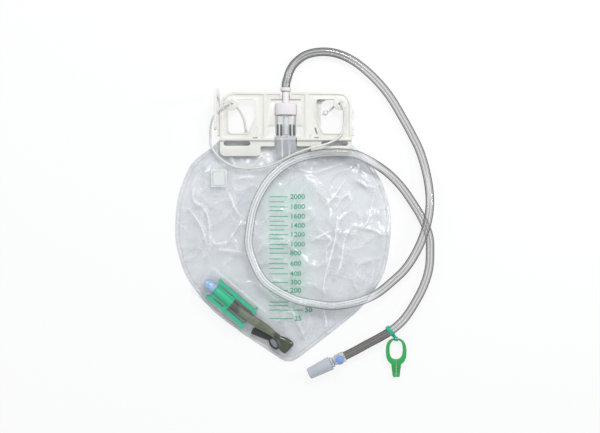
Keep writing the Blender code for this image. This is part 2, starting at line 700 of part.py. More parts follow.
def make_hook(name: str, side: float, standing: bool, look: bpy.types.Material) -> None:
    """Make a bed hook on its hinge axis, standing out of the plate or folded flat behind it.

    The face is drawn in (reach, height) and its thickness runs across, from the face that looks away
    from the plate when the hook stands.
    """
    axis = Vector((AXIS_X + side * (PLATE_HALF_WIDTH + HINGE_OUTSET), 0.0, HINGE_HEIGHT))
    if standing:
        reach, across = Vector((0.0, 0.0, 1.0)), Vector((side, 0.0, 0.0))
    else:
        reach, across = Vector((-side, 0.0, 0.0)), Vector((0.0, 0.0, 1.0))
    up = Vector((0.0, 1.0, 0.0))
    place = Matrix.Translation(axis) @ Matrix((reach, up, across)).transposed().to_4x4()
    bm = bmesh.new()
    inner_face = HOOK_OUTER_FACE - HOOK_THICKNESS
    prism(bm, hook_outline(), inner_face, HOOK_OUTER_FACE, place)
    hook = add_object(name, bm, look, tuple(axis))

    webs = bmesh.new()
    barrels = bmesh.new()
    lug_gap = LUG_WIDTH / 2.0 + GAP
    for lug, toward in ((LUG_LOW_Y, 1.0), (LUG_HIGH_Y, -1.0)):
        near = lug + toward * lug_gap
        far = near + toward * BARREL_LENGTH
        prism(webs, box_outline(0.0002, HOOK_STEM_START + 0.001, min(near, far) + 0.0002, max(near, far) - 0.0002),
              inner_face, HOOK_OUTER_FACE, place)
        turn = place @ Matrix.Translation((0.0, near, 0.0)) @ Matrix.Rotation(math.radians(90.0) * toward, 4, 'Z')
        turned(barrels, [(-PIN_LENGTH, PIN_RADIUS), (0.0, PIN_RADIUS), (0.0, BARREL_RADIUS),
                         (BARREL_LENGTH, BARREL_RADIUS)], turn, 12)
    boolean(hook, webs, "webs", 'UNION')
    boolean(hook, barrels, "barrels", 'UNION')


# The inlet and the chamber

def make_inlet(look: bpy.types.Material) -> None:
    """Make the bonded collar that joins the drainage tube to the chamber's neck."""
    start = NECK_TOP + GAP
    bm = bmesh.new()
    place = Matrix.Translation((AXIS_X, start, CHAMBER_Z)) @ Matrix.Rotation(math.radians(90.0), 4, 'Z')
    turned(bm, [(0.0, COLLAR_RADIUS - 0.0008), (0.0006, COLLAR_RADIUS), (COLLAR_LENGTH - 0.0006, COLLAR_RADIUS),
                (COLLAR_LENGTH, COLLAR_RADIUS - 0.0006), (COLLAR_LENGTH, NECK_BORE), (0.0, NECK_BORE)],
           place, 20, closed=True)
    add_object("inlet_connector", bm, look)


def make_chamber(cap_look: bpy.types.Material, clear: bpy.types.Material, valve_look: bpy.types.Material) -> None:
    """Make the chamber's cap with its neck, the clear body, the drip tube and the anti-reflux valve sleeve."""
    z = CHAMBER_Z
    cap_bottom = CAP_TOP - CAP_LENGTH
    inner_top = CAP_TOP - 2.0 * CAP_WALL
    half_w, half_d = CAP_HALF_WIDTH, CAP_HALF_DEPTH
    bm = bmesh.new()
    skin(bm, [
        oval(AXIS_X, NECK_TOP, z, NECK_RADIUS, NECK_RADIUS, power=2.0),
        oval(AXIS_X, CAP_TOP, z, NECK_RADIUS, NECK_RADIUS, power=2.0),
        oval(AXIS_X, CAP_TOP, z, half_w - 0.0012, half_d - 0.0012),
        oval(AXIS_X, CAP_TOP - 0.0012, z, half_w, half_d),
        oval(AXIS_X, cap_bottom, z, half_w, half_d),
        oval(AXIS_X, cap_bottom, z, half_w - CAP_WALL, half_d - CAP_WALL),
        oval(AXIS_X, inner_top, z, half_w - CAP_WALL, half_d - CAP_WALL),
        oval(AXIS_X, inner_top, z, NECK_BORE, NECK_BORE, power=2.0),
        oval(AXIS_X, NECK_TOP, z, NECK_BORE, NECK_BORE, power=2.0),
    ], closed=True)
    add_object("chamber_cap", bm, cap_look)

    spigot_top = cap_bottom + SPIGOT_LENGTH
    spigot_w, spigot_d = half_w - CAP_WALL - GAP, half_d - CAP_WALL - GAP
    shoulder = cap_bottom - GAP
    body_w, body_d = BODY_HALF_WIDTH, BODY_HALF_DEPTH
    bm = bmesh.new()
    skin(bm, [
        oval(AXIS_X, spigot_top, z, spigot_w, spigot_d),
        oval(AXIS_X, shoulder, z, spigot_w, spigot_d),
        oval(AXIS_X, shoulder, z, body_w, body_d),
        oval(AXIS_X, BODY_BOTTOM + 0.0030, z, body_w, body_d),
        oval(AXIS_X, BODY_BOTTOM, z - 0.0006, body_w - 0.0006, body_d - 0.0008),
        oval(AXIS_X, BODY_BOTTOM, z - 0.0006, body_w - 0.0006 - BODY_WALL, body_d - 0.0008 - BODY_WALL),
        oval(AXIS_X, BODY_BOTTOM + 0.0030, z, spigot_w - BODY_WALL, spigot_d - BODY_WALL),
        oval(AXIS_X, spigot_top, z, spigot_w - BODY_WALL, spigot_d - BODY_WALL),
    ], closed=True)
    add_object("chamber_body", bm, clear)

    bm = bmesh.new()
    place = Matrix.Translation((AXIS_X, inner_top - GAP, z)) @ Matrix.Rotation(math.radians(-90.0), 4, 'Z')
    drop = inner_top - GAP - BODY_BOTTOM - 0.0010
    turned(bm, [(0.0, DRIP_RADIUS), (drop, DRIP_RADIUS), (drop, DRIP_RADIUS - DRIP_WALL), (0.0, DRIP_RADIUS - DRIP_WALL)],
           place, 16, closed=True)
    add_object("drip_tube", bm, clear)

    top = BODY_BOTTOM - GAP
    wall = 0.0006
    levels = []
    for share in (0.0, 0.35, 0.7, 1.0):
        levels.append((top - VALVE_LENGTH * share, VALVE_Z + (VALVE_END_Z - VALVE_Z) * share,
                       VALVE_HALF_WIDTH - 0.0006 * share,
                       VALVE_HALF_DEPTH + (VALVE_END_DEPTH - VALVE_HALF_DEPTH) * share))
    bm = bmesh.new()
    outer = [oval(AXIS_X, y, mid, w, d, 20) for y, mid, w, d in levels]
    inner = [oval(AXIS_X, y, mid, w - wall, d - wall, 20) for y, mid, w, d in reversed(levels)]
    skin(bm, outer + inner, closed=True)
    add_object("anti_reflux_valve", bm, valve_look)


# The drain outlet

def outlet_place() -> Matrix:
    """Give the outlet's own frame: +X along it towards the port, seated on the front film."""
    direction = Vector((math.cos(OUTLET_TURN), math.sin(OUTLET_TURN)))
    across = Vector((-direction.y, direction.x))
    highest = 0.0
    for along in (ARM_START, (ARM_START + ARM_END) / 2.0, ARM_END):
        for side in (-CROSS_HALF_WIDTH, CROSS_HALF_WIDTH):
            spot = OUTLET_START + direction * along + across * side
            highest = max(highest, film_top(spot.x, spot.y))
    shoulder = OUTLET_START + direction * BARREL_START
    base = max(highest + FLANGE_HEIGHT / 2.0, film_top(shoulder.x, shoulder.y) + NOZZLE_RADIUS) + SEAT
    return Matrix.Translation((OUTLET_START.x, OUTLET_START.y, base)) @ Matrix.Rotation(OUTLET_TURN, 4, 'Z')


def make_holder(look: bpy.types.Material) -> None:
    """Make the green outlet holder: a barrel between two side arms, with a cross flange and end flanges."""
    place = outlet_place()
    half = FLANGE_HEIGHT / 2.0
    bm = bmesh.new()
    web = box_outline(BARREL_START + 0.001, BARREL_END - 0.001, -ARM_OFFSET, ARM_OFFSET)
    prism(bm, web, -WEB_THICKNESS / 2.0, WEB_THICKNESS / 2.0, place)
    holder = add_object("outlet_holder", bm, look)

    arms = bmesh.new()
    ends = bmesh.new()
    cuts = bmesh.new()
    for side in (-1.0, 1.0):
        inner, outer = side * (ARM_OFFSET - ARM_WIDTH / 2.0), side * (ARM_OFFSET + ARM_WIDTH / 2.0)
        flare = side * 0.0016
        arm = [Vector(p) for p in ((ARM_START, inner + 1.6 * flare), (ARM_START, outer + flare),
                                   (ARM_START + 0.006, outer), (ARM_END, outer), (ARM_END, inner),
                                   (ARM_START + 0.006, inner))]
        prism(arms, arm, -ARM_HEIGHT / 2.0, ARM_HEIGHT / 2.0, place)
        middle = side * (ARM_OFFSET + 0.0004)
        prism(ends, box_outline(ARM_END - FLANGE_THICKNESS, ARM_END + 0.0004, middle - FLANGE_WIDTH / 2.0,
                                middle + FLANGE_WIDTH / 2.0), -half, half, place)
        middle = side * (ARM_OFFSET + HOLDER_RADIUS) / 2.0
        prism(cuts, box_outline(BARREL_START + 0.006, BARREL_END - 0.006, middle - 0.0011, middle + 0.0011),
              -half, half, place)
    boolean(holder, arms, "arms", 'UNION')
    boolean(holder, ends, "end_flanges", 'UNION')
    boolean(holder, cuts, "web_windows", 'DIFFERENCE')

    bm = bmesh.new()
    turned(bm, [(BARREL_START, HOLDER_RADIUS - 0.0006), (BARREL_START + 0.0008, HOLDER_RADIUS),
                (BARREL_END - 0.0008, HOLDER_RADIUS), (BARREL_END - 0.0008, HOLDER_BORE - 0.0004),
                (BARREL_END + 0.0070, HOLDER_BORE - 0.0008)], place, 16)
    boolean(holder, bm, "barrel", 'UNION')
    bm = bmesh.new()
    cross = box_outline(BARREL_END - 0.0030, BARREL_END - 0.0014, -CROSS_HALF_WIDTH, CROSS_HALF_WIDTH)
    prism(bm, cross, -half + 0.0004, half - 0.0004, place)
    boolean(holder, bm, "cross_flange", 'UNION')
    bm = bmesh.new()
    turned(bm, [(BARREL_START - 0.001, HOLDER_BORE), (BARREL_START + 0.0065, HOLDER_BORE),
                (BARREL_START + 0.0065, HOLDER_BORE - 0.0022), (BARREL_END + 0.0080, HOLDER_BORE - 0.0022)], place, 16)
    boolean(holder, bm, "bore", 'DIFFERENCE')


def make_nozzle(look: bpy.types.Material) -> None:
    """Make the clear drain nozzle, with its stub inside the holder's barrel and two side tabs."""
    place = outlet_place()
    stub = HOLDER_BORE - GAP
    seat = BARREL_START - GAP
    bm = bmesh.new()
    turned(bm, [(NOZZLE_TIP, NOZZLE_RADIUS - 0.0030), (NOZZLE_TIP + 0.0016, NOZZLE_RADIUS - 0.0010),
                (NOZZLE_TIP + 0.0036, NOZZLE_RADIUS), (seat - 0.0030, NOZZLE_RADIUS), (seat, NOZZLE_RADIUS - 0.0006),
                (seat, stub), (seat + 0.0055, stub), (seat + 0.0055, 0.0018), (NOZZLE_TIP, 0.0018)], place, 20,
           closed=True)
    nozzle = add_object("outlet_nozzle", bm, look)
    bm = bmesh.new()
    for side in (-1.0, 1.0):
        middle = side * (NOZZLE_RADIUS + 0.0002)
        prism(bm, box_outline(seat - 0.0030, seat - 0.0006, middle - 0.0016, middle + 0.0016), -0.0014, 0.0014, place)
    boolean(nozzle, bm, "tabs", 'UNION')


def outlet_sections() -> list:
    """Give the dark outlet tube's course: place, half width and half height of each section."""
    place = outlet_place()
    start = place @ Vector((BARREL_END + GAP, 0.0, 0.0))
    radius = OUTLET_TUBE_RADIUS
    rows = [
        (start.x, start.y, radius, radius), (-0.0530, -0.0985, radius, radius),
        (-0.0420, -0.1065, radius, radius * 0.95), (-0.0300, -0.1148, radius, radius * 0.80),
        (-0.0195, -0.1215, radius * 0.90, radius * 0.60), (-0.0110, -0.1275, radius * 0.66, radius * 0.40),
        (-0.0058, -0.1325, radius * 0.80, radius * 0.50),
    ]
    lift = place.translation.z
    low = film_top(-0.0110, -0.1275) + 0.0043 + radius * 0.40
    sections = []
    for index, (x, y, half_w, half_h) in enumerate(rows):
        share = max(0.0, index - 1) / (len(rows) - 2)
        sections.append((Vector((x, y, lift + (low - lift) * share)), half_w, half_h))
    return sections


def loft_along(bm: bmesh.types.BMesh, sections: list, sides: int = 14, hollow: float = 0.0) -> None:
    """Loft oval sections along their course, open through the middle where a wall is given."""
    loops = []
    inner = []
    for index, (middle, half_w, half_h) in enumerate(sections):
        ahead = sections[min(index + 1, len(sections) - 1)][0] - sections[max(index - 1, 0)][0]
        side = ahead.cross(Vector((0.0, 0.0, 1.0))).normalized()
        up = side.cross(ahead).normalized()
        corners = [(math.cos(math.tau * i / sides), math.sin(math.tau * i / sides)) for i in range(sides)]
        loops.append([middle + side * (c * half_w) + up * (s * half_h) for c, s in corners])
        inner.append([middle + side * (c * (half_w - hollow)) + up * (s * (half_h - hollow)) for c, s in corners])
    if hollow > 0.0:
        skin(bm, loops + inner[::-1], closed=True)
    else:
        skin(bm, loops)


def make_outlet_tube(look: bpy.types.Material) -> None:
    """Make the short dark outlet tube, pushed on the holder's stub and pinched flat near the port."""
    bm = bmesh.new()
    loft_along(bm, outlet_sections(), hollow=0.0014)
    add_object("outlet_tube", bm, look)


def make_outlet_port(look: bpy.types.Material) -> None:
    """Make the moulded port at the pouch's tip, seated on the film and facing the outlet tube."""
    before, last = (row[0] for row in outlet_sections()[-2:])
    _, half_w, half_h = outlet_sections()[-1]
    ahead = (last - before).normalized()
    seat = strap_base() + STRAP_BAND + SEAT + PORT_HALF_HEIGHT
    rows = ((0.0016, half_w + 0.0004, half_h + 0.0002, 0.0), (0.0040, 0.0064, 0.0034, 0.35),
            (0.0080, 0.0080, 0.0040, 0.8), (0.0130, 0.0090, PORT_HALF_HEIGHT, 1.0),
            (0.0175, 0.0086, PORT_HALF_HEIGHT - 0.0006, 1.0), (0.0190, 0.0070, PORT_HALF_HEIGHT - 0.0018, 1.0))
    sections = [(last + ahead * GAP * 1.5, half_w, half_h)]
    for along, wide, high, share in rows:
        spot = last + ahead * along
        spot.z += (seat - spot.z) * share
        sections.append((spot, wide, high))
    bm = bmesh.new()
    loft_along(bm, sections)
    add_object("outlet_port", bm, look)


def strap_base() -> float:
    """Give the height of the outlet strap's underside, where it lies on the film."""
    return max(film_top(p.x, p.y) for p in (STRAP_START, STRAP_END)) + SEAT


def make_outlet_strap(look: bpy.types.Material) -> None:
    """Make the black rubber strap beside the outlet tube, with the flat eyelet at its end."""
    start, end = STRAP_START, STRAP_END
    along = (end - start).normalized()
    across = Vector((-along.y, along.x))
    ring_middle = end + along * 0.0052 + across * -0.0044
    base = strap_base()
    thick = STRAP_BAND
    bm = bmesh.new()
    tail = [start - across * 0.0041, end - across * 0.0038, end + across * 0.0038, start + across * 0.0041]
    prism(bm, fillet([tuple(p) for p in tail], [0.0012, 0.0, 0.0, 0.0020]), base, base + thick)
    strap = add_object("outlet_strap", bm, look)
    lean = math.radians(-56.0)
    loops = []
    for reach, height in ((0.0, 0.0), (0.0, thick), (-0.0022, thick), (-0.0022, 0.0)):
        loop = []
        for i in range(20):
            angle = math.tau * i / 20
            flat = Vector(((0.0082 + reach) * math.cos(angle), (0.0052 + reach) * math.sin(angle)))
            flat.rotate(Matrix.Rotation(lean, 2))
            loop.append(Vector((ring_middle.x + flat.x, ring_middle.y + flat.y, base + height)))
        loops.append(loop)
    bm = bmesh.new()
    skin(bm, loops, closed=True)
    boolean(strap, bm, "eyelet", 'UNION')


def make_outlet_pocket(look: bpy.types.Material) -> None:
    """Make the clear film pocket over the holder: a low arch, closed at its upper end and open at the tube."""
    direction = Vector((math.cos(OUTLET_TURN), math.sin(OUTLET_TURN)))
    across = Vector((-direction.y, direction.x))
    columns, rows = 13, 14
    roof = outlet_place().translation.z + max(FLANGE_HEIGHT / 2.0, NOZZLE_RADIUS) + FILM + 2.0 * SEAT
    bm = bmesh.new()
    grid = []
    for i in range(columns):
        share = i / (columns - 1)
        along = POCKET_START + (POCKET_END - POCKET_START) * share
        rise = (1.0 - (1.0 - min(share / 0.16, 1.0)) ** 3) ** 0.5
        line = []
        for j in range(rows):
            angle = math.pi * j / (rows - 1)
            side = -math.copysign(abs(math.cos(angle)) ** 0.35, math.cos(angle))
            beyond = max(abs(side) - POCKET_FLAT_SHARE, 0.0) / (1.0 - POCKET_FLAT_SHARE)
            arch = math.sqrt(max(1.0 - beyond ** 2, 0.0))
            spot = OUTLET_START + direction * along + across * (side * POCKET_HALF_WIDTH)
            ground = film_top(spot.x, spot.y) + SEAT + FILM
            line.append(bm.verts.new((spot.x, spot.y, ground + (roof - ground) * arch * rise)))
        grid.append(line)
    for first, second in zip(grid, grid[1:]):
        for a, b, c, d in zip(first, second, second[1:], first[1:]):
            bm.faces.new((a, b, c, d))
    made = add_object("outlet_pocket", bm, look)
    wall = made.modifiers.new("film", 'SOLIDIFY')
    wall.thickness = FILM
    wall.offset = -1.0


# The catheter end

TUBE_ROUTE = (
    (AXIS_X, 0.1667, 0.0078), (AXIS_X + 0.0001, 0.1712, 0.0078), (0.0052, 0.1775, 0.0078), (0.0084, 0.1872, 0.0070), (0.0150, 0.1972, 0.0058),
    (0.0281, 0.2066, 0.0054), (0.0468, 0.2102, 0.0054), (0.0660, 0.2076, 0.0054), (0.0864, 0.1980, 0.0054),
    (0.1080, 0.1800, 0.0054), (0.1272, 0.1578, 0.0054), (0.1440, 0.1302, 0.0054), (0.1548, 0.1104, 0.0054),
    (0.1640, 0.0912, 0.0058), (0.1714, 0.0648, 0.0084), (0.1745, 0.0384, 0.0138), (0.1734, 0.0168, 0.0166),
    (0.1680, -0.0060, 0.0168), (0.1589, -0.0282, 0.0156), (0.1464, -0.0492, 0.0112), (0.1296, -0.0660, 0.0084),
    (0.1116, -0.0799, 0.0096), (0.0924, -0.0882, 0.0108), (0.0690, -0.0930, 0.0120), (0.0560, -0.0936, 0.0124),
    (0.0404, -0.0916, 0.0128), (0.0175, -0.0870, 0.0132), (-0.0055, -0.0763, 0.0136), (-0.0240, -0.0618, 0.0138),
    (-0.0360, -0.0384, 0.0138), (-0.0408, -0.0192, 0.0138), (-0.0391, 0.0000, 0.0138), (-0.0348, 0.0216, 0.0138),
    (-0.0252, 0.0432, 0.0140), (-0.0132, 0.0600, 0.0140), (0.0048, 0.0751, 0.0142), (0.0252, 0.0835, 0.0146),
    (0.0480, 0.0876, 0.0146), (0.0720, 0.0882, 0.0144), (0.0910, 0.0850, 0.0130), (0.1120, 0.0740, 0.0100),
    (0.1280, 0.0625, 0.0070), (0.1430, 0.0470, 0.0055), (0.1556, 0.0290, 0.0054), (0.1665, 0.0110, 0.0054),
    (0.1750, -0.0100, 0.0054), (0.1764, -0.0282, 0.0054), (0.1752, -0.0492, 0.0054), (0.1692, -0.0696, 0.0054),
    (0.1589, -0.0900, 0.0055), (0.1464, -0.1088, 0.0060), (0.1330, -0.1215, 0.0068), (0.1176, -0.1312, 0.0070),
    (0.1003, -0.1404, 0.0074), (0.0866, -0.1478, 0.0080), (0.0738, -0.1542, 0.0084),
)

STRING_ROUTE = (
    (-0.0446, 0.1158, 0.0034), (-0.0458, 0.1226, 0.0022), (-0.0474, 0.1300, 0.0018), (-0.0505, 0.1372, 0.0019),
    (-0.0555, 0.1440, 0.0026), (-0.0600, 0.1470, 0.0060), (-0.0619, 0.1478, 0.0096), (-0.0634, 0.1474, 0.0130),
    (-0.0672, 0.1455, 0.0160), (-0.0732, 0.1415, 0.0168), (-0.0790, 0.1360, 0.0160), (-0.0838, 0.1285, 0.0124),
    (-0.0868, 0.1180, 0.0070), (-0.0872, 0.1080, 0.0044), (-0.0862, 0.0970, 0.0048), (-0.0768, 0.0840, 0.0062),
    (-0.0625, 0.0740, 0.0070), (-0.0480, 0.0705, 0.0076), (-0.0288, 0.0708, 0.0088), (-0.0090, 0.0760, 0.0118),
    (0.0080, 0.0838, 0.0160), (0.0210, 0.0895, 0.0184), (0.0350, 0.0942, 0.0180), (0.0552, 0.1000, 0.0140),
    (0.0682, 0.1085, 0.0126), (0.0722, 0.1200, 0.0125), (0.0733, 0.1320, 0.0128), (0.0720, 0.1415, 0.0150),
    (0.0698, 0.1464, 0.0138), (0.0687, 0.1478, 0.0098), (0.0672, 0.1475, 0.0060), (0.0630, 0.1462, 0.0028),
    (0.0600, 0.1436, 0.0020), (0.0568, 0.1412, 0.0022), (0.0532, 0.1386, 0.0034),
)


def make_knot(name: str, before: tuple, end: tuple, look: bpy.types.Material) -> None:
    """Make the overhand knot at an end of the string as a closed barrel, a gap past the string's end."""
    along = (Vector(end) - Vector(before)).normalized()
    place = Matrix.Translation(end) @ along.to_track_quat('X', 'Z').to_matrix().to_4x4()
    bm = bmesh.new()
    turned(bm, [(GAP, STRING_RADIUS), (GAP + 0.18 * KNOT_LENGTH, 0.86 * KNOT_RADIUS),
                (GAP + 0.42 * KNOT_LENGTH, KNOT_RADIUS), (GAP + 0.72 * KNOT_LENGTH, 0.92 * KNOT_RADIUS),
                (GAP + KNOT_LENGTH, 0.45 * KNOT_RADIUS)], place, 12)
    add_object(name, bm, look)


def route_end() -> Matrix:
    """Give the frame at the tube's far end, +X pointing on along the tube."""
    before, last = (Vector(point) for point in TUBE_ROUTE[-2:])
    ahead = last - before
    return Matrix.Translation(last) @ Matrix.Rotation(math.atan2(ahead.y, ahead.x), 4, 'Z')


def make_sampling_port(look: bpy.types.Material, septum_look: bpy.types.Material) -> None:
    """Make the clear sampling port on the tube's end and the blue septum in its boss."""
    place = route_end()
    end = PORT_LENGTH + GAP
    bm = bmesh.new()
    turned(bm, [(GAP, PORT_RADIUS - 0.0006), (GAP + 0.0012, PORT_RADIUS), (end - 0.0036, PORT_RADIUS),
                (end - 0.0026, PORT_NECK + 0.0004), (end, PORT_NECK), (end, PORT_BORE), (GAP, PORT_BORE)], place, 16,
           closed=True)
    port = add_object("sampling_port", bm, look)
    boss = place @ Matrix.Translation((PORT_LENGTH / 2.0, 0.0, 0.0))
    bm = bmesh.new()
    prism(bm, circle_outline(0.0, 0.0, BOSS_OUTER, 20), PORT_RADIUS - 0.0026, BOSS_HEIGHT, boss)
    boolean(port, bm, "boss", 'UNION')
    bm = bmesh.new()
    prism(bm, circle_outline(0.0, 0.0, SEPTUM_RADIUS + GAP, 20), BOSS_HEIGHT - SEPTUM_DEPTH, BOSS_HEIGHT + 0.001, boss)
    boolean(port, bm, "septum_seat", 'DIFFERENCE')
    up = boss @ Matrix.Rotation(math.radians(-90.0), 4, 'Y')
    bm = bmesh.new()
    turned(bm, [(BOSS_HEIGHT - SEPTUM_DEPTH + GAP, SEPTUM_RADIUS), (BOSS_HEIGHT + 0.0004, SEPTUM_RADIUS),
                (BOSS_HEIGHT + 0.0011, SEPTUM_RADIUS * 0.65)], up, 20)
    add_object("sampling_septum", bm, septum_look)


def make_connector(look: bpy.types.Material, cap_look: bpy.types.Material) -> None:
    """Make the stepped catheter connector and the pull-off cap over its taper."""
    place = route_end() @ Matrix.Translation((PORT_LENGTH + 2.0 * GAP, 0.0, 0.0))
    flange = 0.0034
    bm = bmesh.new()
    turned(bm, [(0.0, PORT_NECK), (0.0006, FLANGE_RADIUS), (flange, FLANGE_RADIUS), (flange, TAPER_START),
                (flange + TAPER_LENGTH * 0.35, TAPER_START - 0.0005), (flange + TAPER_LENGTH * 0.37, TAPER_START - 0.0001),
                (flange + TAPER_LENGTH, TAPER_END), (flange + TAPER_LENGTH, PORT_BORE), (0.0, PORT_BORE)], place, 16,
           closed=True)
    add_object("catheter_connector", bm, look)
    start = flange + GAP
    end = start + COVER_LENGTH
    bm = bmesh.new()
    turned(bm, [(start, COVER_RADIUS - 0.0003), (start + 0.0008, COVER_RADIUS), (end - 0.0012, COVER_END_RADIUS),
                (end, COVER_END_RADIUS - 0.0010)], place, 20)
    cap = add_object("connector_cap", bm, cap_look, tuple(place.translation))
    bm = bmesh.new()
    turned(bm, [(start - 0.001, TAPER_START + COVER_FIT), (start + TAPER_LENGTH * 0.4, TAPER_START + COVER_FIT),
                (end - COVER_WALL, TAPER_END + 0.0010)], place, 16)
    boolean(cap, bm, "inside", 'DIFFERENCE')


def strap_place() -> Matrix:
    """Give the frame of the strap's ring: a spot on a straight stretch of the tube, +X along it."""
    route = cord_points(TUBE_ROUTE, TUBE_SPACING)
    lengths = [(b - a).length for a, b in zip(route, route[1:])]
    index, left = len(lengths) - 1, STRAP_FROM_END
    while left > lengths[index] and index > 0:
        left -= lengths[index]
        index -= 1
    a, b = route[index], route[index + 1]
    along = (b - a).normalized()
    side = Vector((0.0, 0.0, 1.0)).cross(along).normalized()
    up = along.cross(side)
    margin = STRAP_WIDTH / lengths[index]
    spot = b.lerp(a, min(max(left / lengths[index], margin), 1.0 - margin))
    return Matrix.Translation(spot) @ Matrix((along, side, up)).transposed().to_4x4()


def clip_pivot() -> Vector:
    """Give the middle of the clip's hinge bar, which the strap's eye holds."""
    place = strap_place()
    side = (place.to_3x3() @ Vector((0.0, 1.0, 0.0)))
    flat = Vector((side.x, side.y, 0.0)).normalized()
    spot = place.translation + flat * EYE_FROM_TUBE
    return Vector((spot.x, spot.y, EYE_RADIUS + EYE_LIFT))


def make_clip_strap(look: bpy.types.Material) -> None:
    """Make the strap: a ring round the tube, a flat tail and an eye for the clip's hinge bar."""
    place = strap_place()
    pivot = clip_pivot()
    inner = TUBE_RADIUS + GAP + 0.0001
    half = STRAP_WIDTH / 2.0
    bm = bmesh.new()
    turned(bm, [(-half, inner), (-half, inner + STRAP_THICKNESS), (half, inner + STRAP_THICKNESS), (half, inner)],
           place, 20, closed=True)
    strap = add_object("clip_strap", bm, look)
    flat = Vector((pivot.x - place.translation.x, pivot.y - place.translation.y))
    tail = (Matrix.Translation((place.translation.x, place.translation.y, 0.0))
            @ Matrix.Rotation(math.atan2(flat.y, flat.x), 4, 'Z'))
    bm = bmesh.new()
    prism(bm, box_outline(TUBE_RADIUS + 0.0002, EYE_FROM_TUBE - EYE_BORE - 0.0003, -half + 0.0003, half - 0.0003),
          pivot.z - STRAP_THICKNESS, pivot.z + STRAP_THICKNESS, tail)
    boolean(strap, bm, "tail", 'UNION')
    eye = Matrix.Translation(pivot)
    bm = bmesh.new()
    turned(bm, [(-EYE_HALF_LENGTH, EYE_RADIUS), (EYE_HALF_LENGTH, EYE_RADIUS)], eye, 16)
    boolean(strap, bm, "eye", 'UNION')
    bm = bmesh.new()
    turned(bm, [(-EYE_HALF_LENGTH - 0.002, EYE_BORE), (EYE_HALF_LENGTH + 0.002, EYE_BORE)], eye, 16)
    boolean(strap, bm, "eye_bore", 'DIFFERENCE')


def make_sheet_clip(look: bpy.types.Material) -> None:
    """Make the oval sheet clip: a flat ring hung on a thin bar, with a slit pinch tail at its foot."""
    pivot = clip_pivot()
    middle = pivot.y - CLIP_LENGTH / 2.0 + CLIP_BAR / 2.0
    half = CLIP_THICKNESS / 2.0
    sides = 32

    def ring(half_width: float, half_length: float, lift: float) -> list:
        return [Vector((pivot.x + half_width * math.copysign(abs(math.cos(a)) ** 0.8, math.cos(a)),
                        middle + lift + half_length * math.copysign(abs(math.sin(a)) ** 0.8, math.sin(a))))
                for a in (math.tau * (i + 0.5) / sides for i in range(sides))]

    hole_lift = (CLIP_FOOT_WALL - CLIP_BAR) / 2.0
    bm = bmesh.new()
    prism(bm, ring(CLIP_WIDTH / 2.0, CLIP_LENGTH / 2.0, 0.0), pivot.z - half, pivot.z + half)
    clip = add_object("sheet_clip", bm, look, tuple(pivot))
    foot = middle - CLIP_LENGTH / 2.0
    bm = bmesh.new()
    prism(bm, fillet([(pivot.x - 0.0060, foot + 0.0020), (pivot.x - 0.0040, foot - CLIP_TAIL),
                      (pivot.x + 0.0040, foot - CLIP_TAIL), (pivot.x + 0.0060, foot + 0.0020)],
                     [0.0, 0.0014, 0.0014, 0.0]), pivot.z - half + 0.0003, pivot.z + half - 0.0003)
    boolean(clip, bm, "pinch_tail", 'UNION')
    bm = bmesh.new()
    hole_length = (CLIP_LENGTH - CLIP_FOOT_WALL - CLIP_BAR) / 2.0
    prism(bm, ring(CLIP_WIDTH / 2.0 - CLIP_WALL, hole_length, hole_lift), pivot.z - 0.01, pivot.z + 0.01)
    boolean(clip, bm, "hole", 'DIFFERENCE')
    bm = bmesh.new()
    prism(bm, box_outline(pivot.x - 0.0003, pivot.x + 0.0003, foot - CLIP_TAIL - 0.001, foot + CLIP_FOOT_WALL + 0.001),
          pivot.z - 0.01, pivot.z + 0.01)
    for i in range(4):
        groove = foot - 0.0015 - 0.0022 * i
        for low in (-0.01, half - 0.0009):
            prism(bm, box_outline(pivot.x - 0.0070, pivot.x - 0.0004, groove - 0.0005, groove + 0.0005),
                  pivot.z + low, pivot.z + low + 0.01 - half + 0.0006 * (low < 0.0))
            prism(bm, box_outline(pivot.x + 0.0004, pivot.x + 0.0070, groove - 0.0005, groove + 0.0005),
                  pivot.z + low, pivot.z + low + 0.01 - half + 0.0006 * (low < 0.0))
    boolean(clip, bm, "slit_and_grips", 'DIFFERENCE')
    bm = bmesh.new()
    for side in (-1.0, 1.0):
        prism(bm, box_outline(pivot.x - CLIP_NOTCH, pivot.x + CLIP_NOTCH, pivot.y - 0.004, pivot.y + 0.004),
              pivot.z + side * CLIP_BAR / 2.0, pivot.z + side * 0.01)
    boolean(clip, bm, "bar", 'DIFFERENCE')


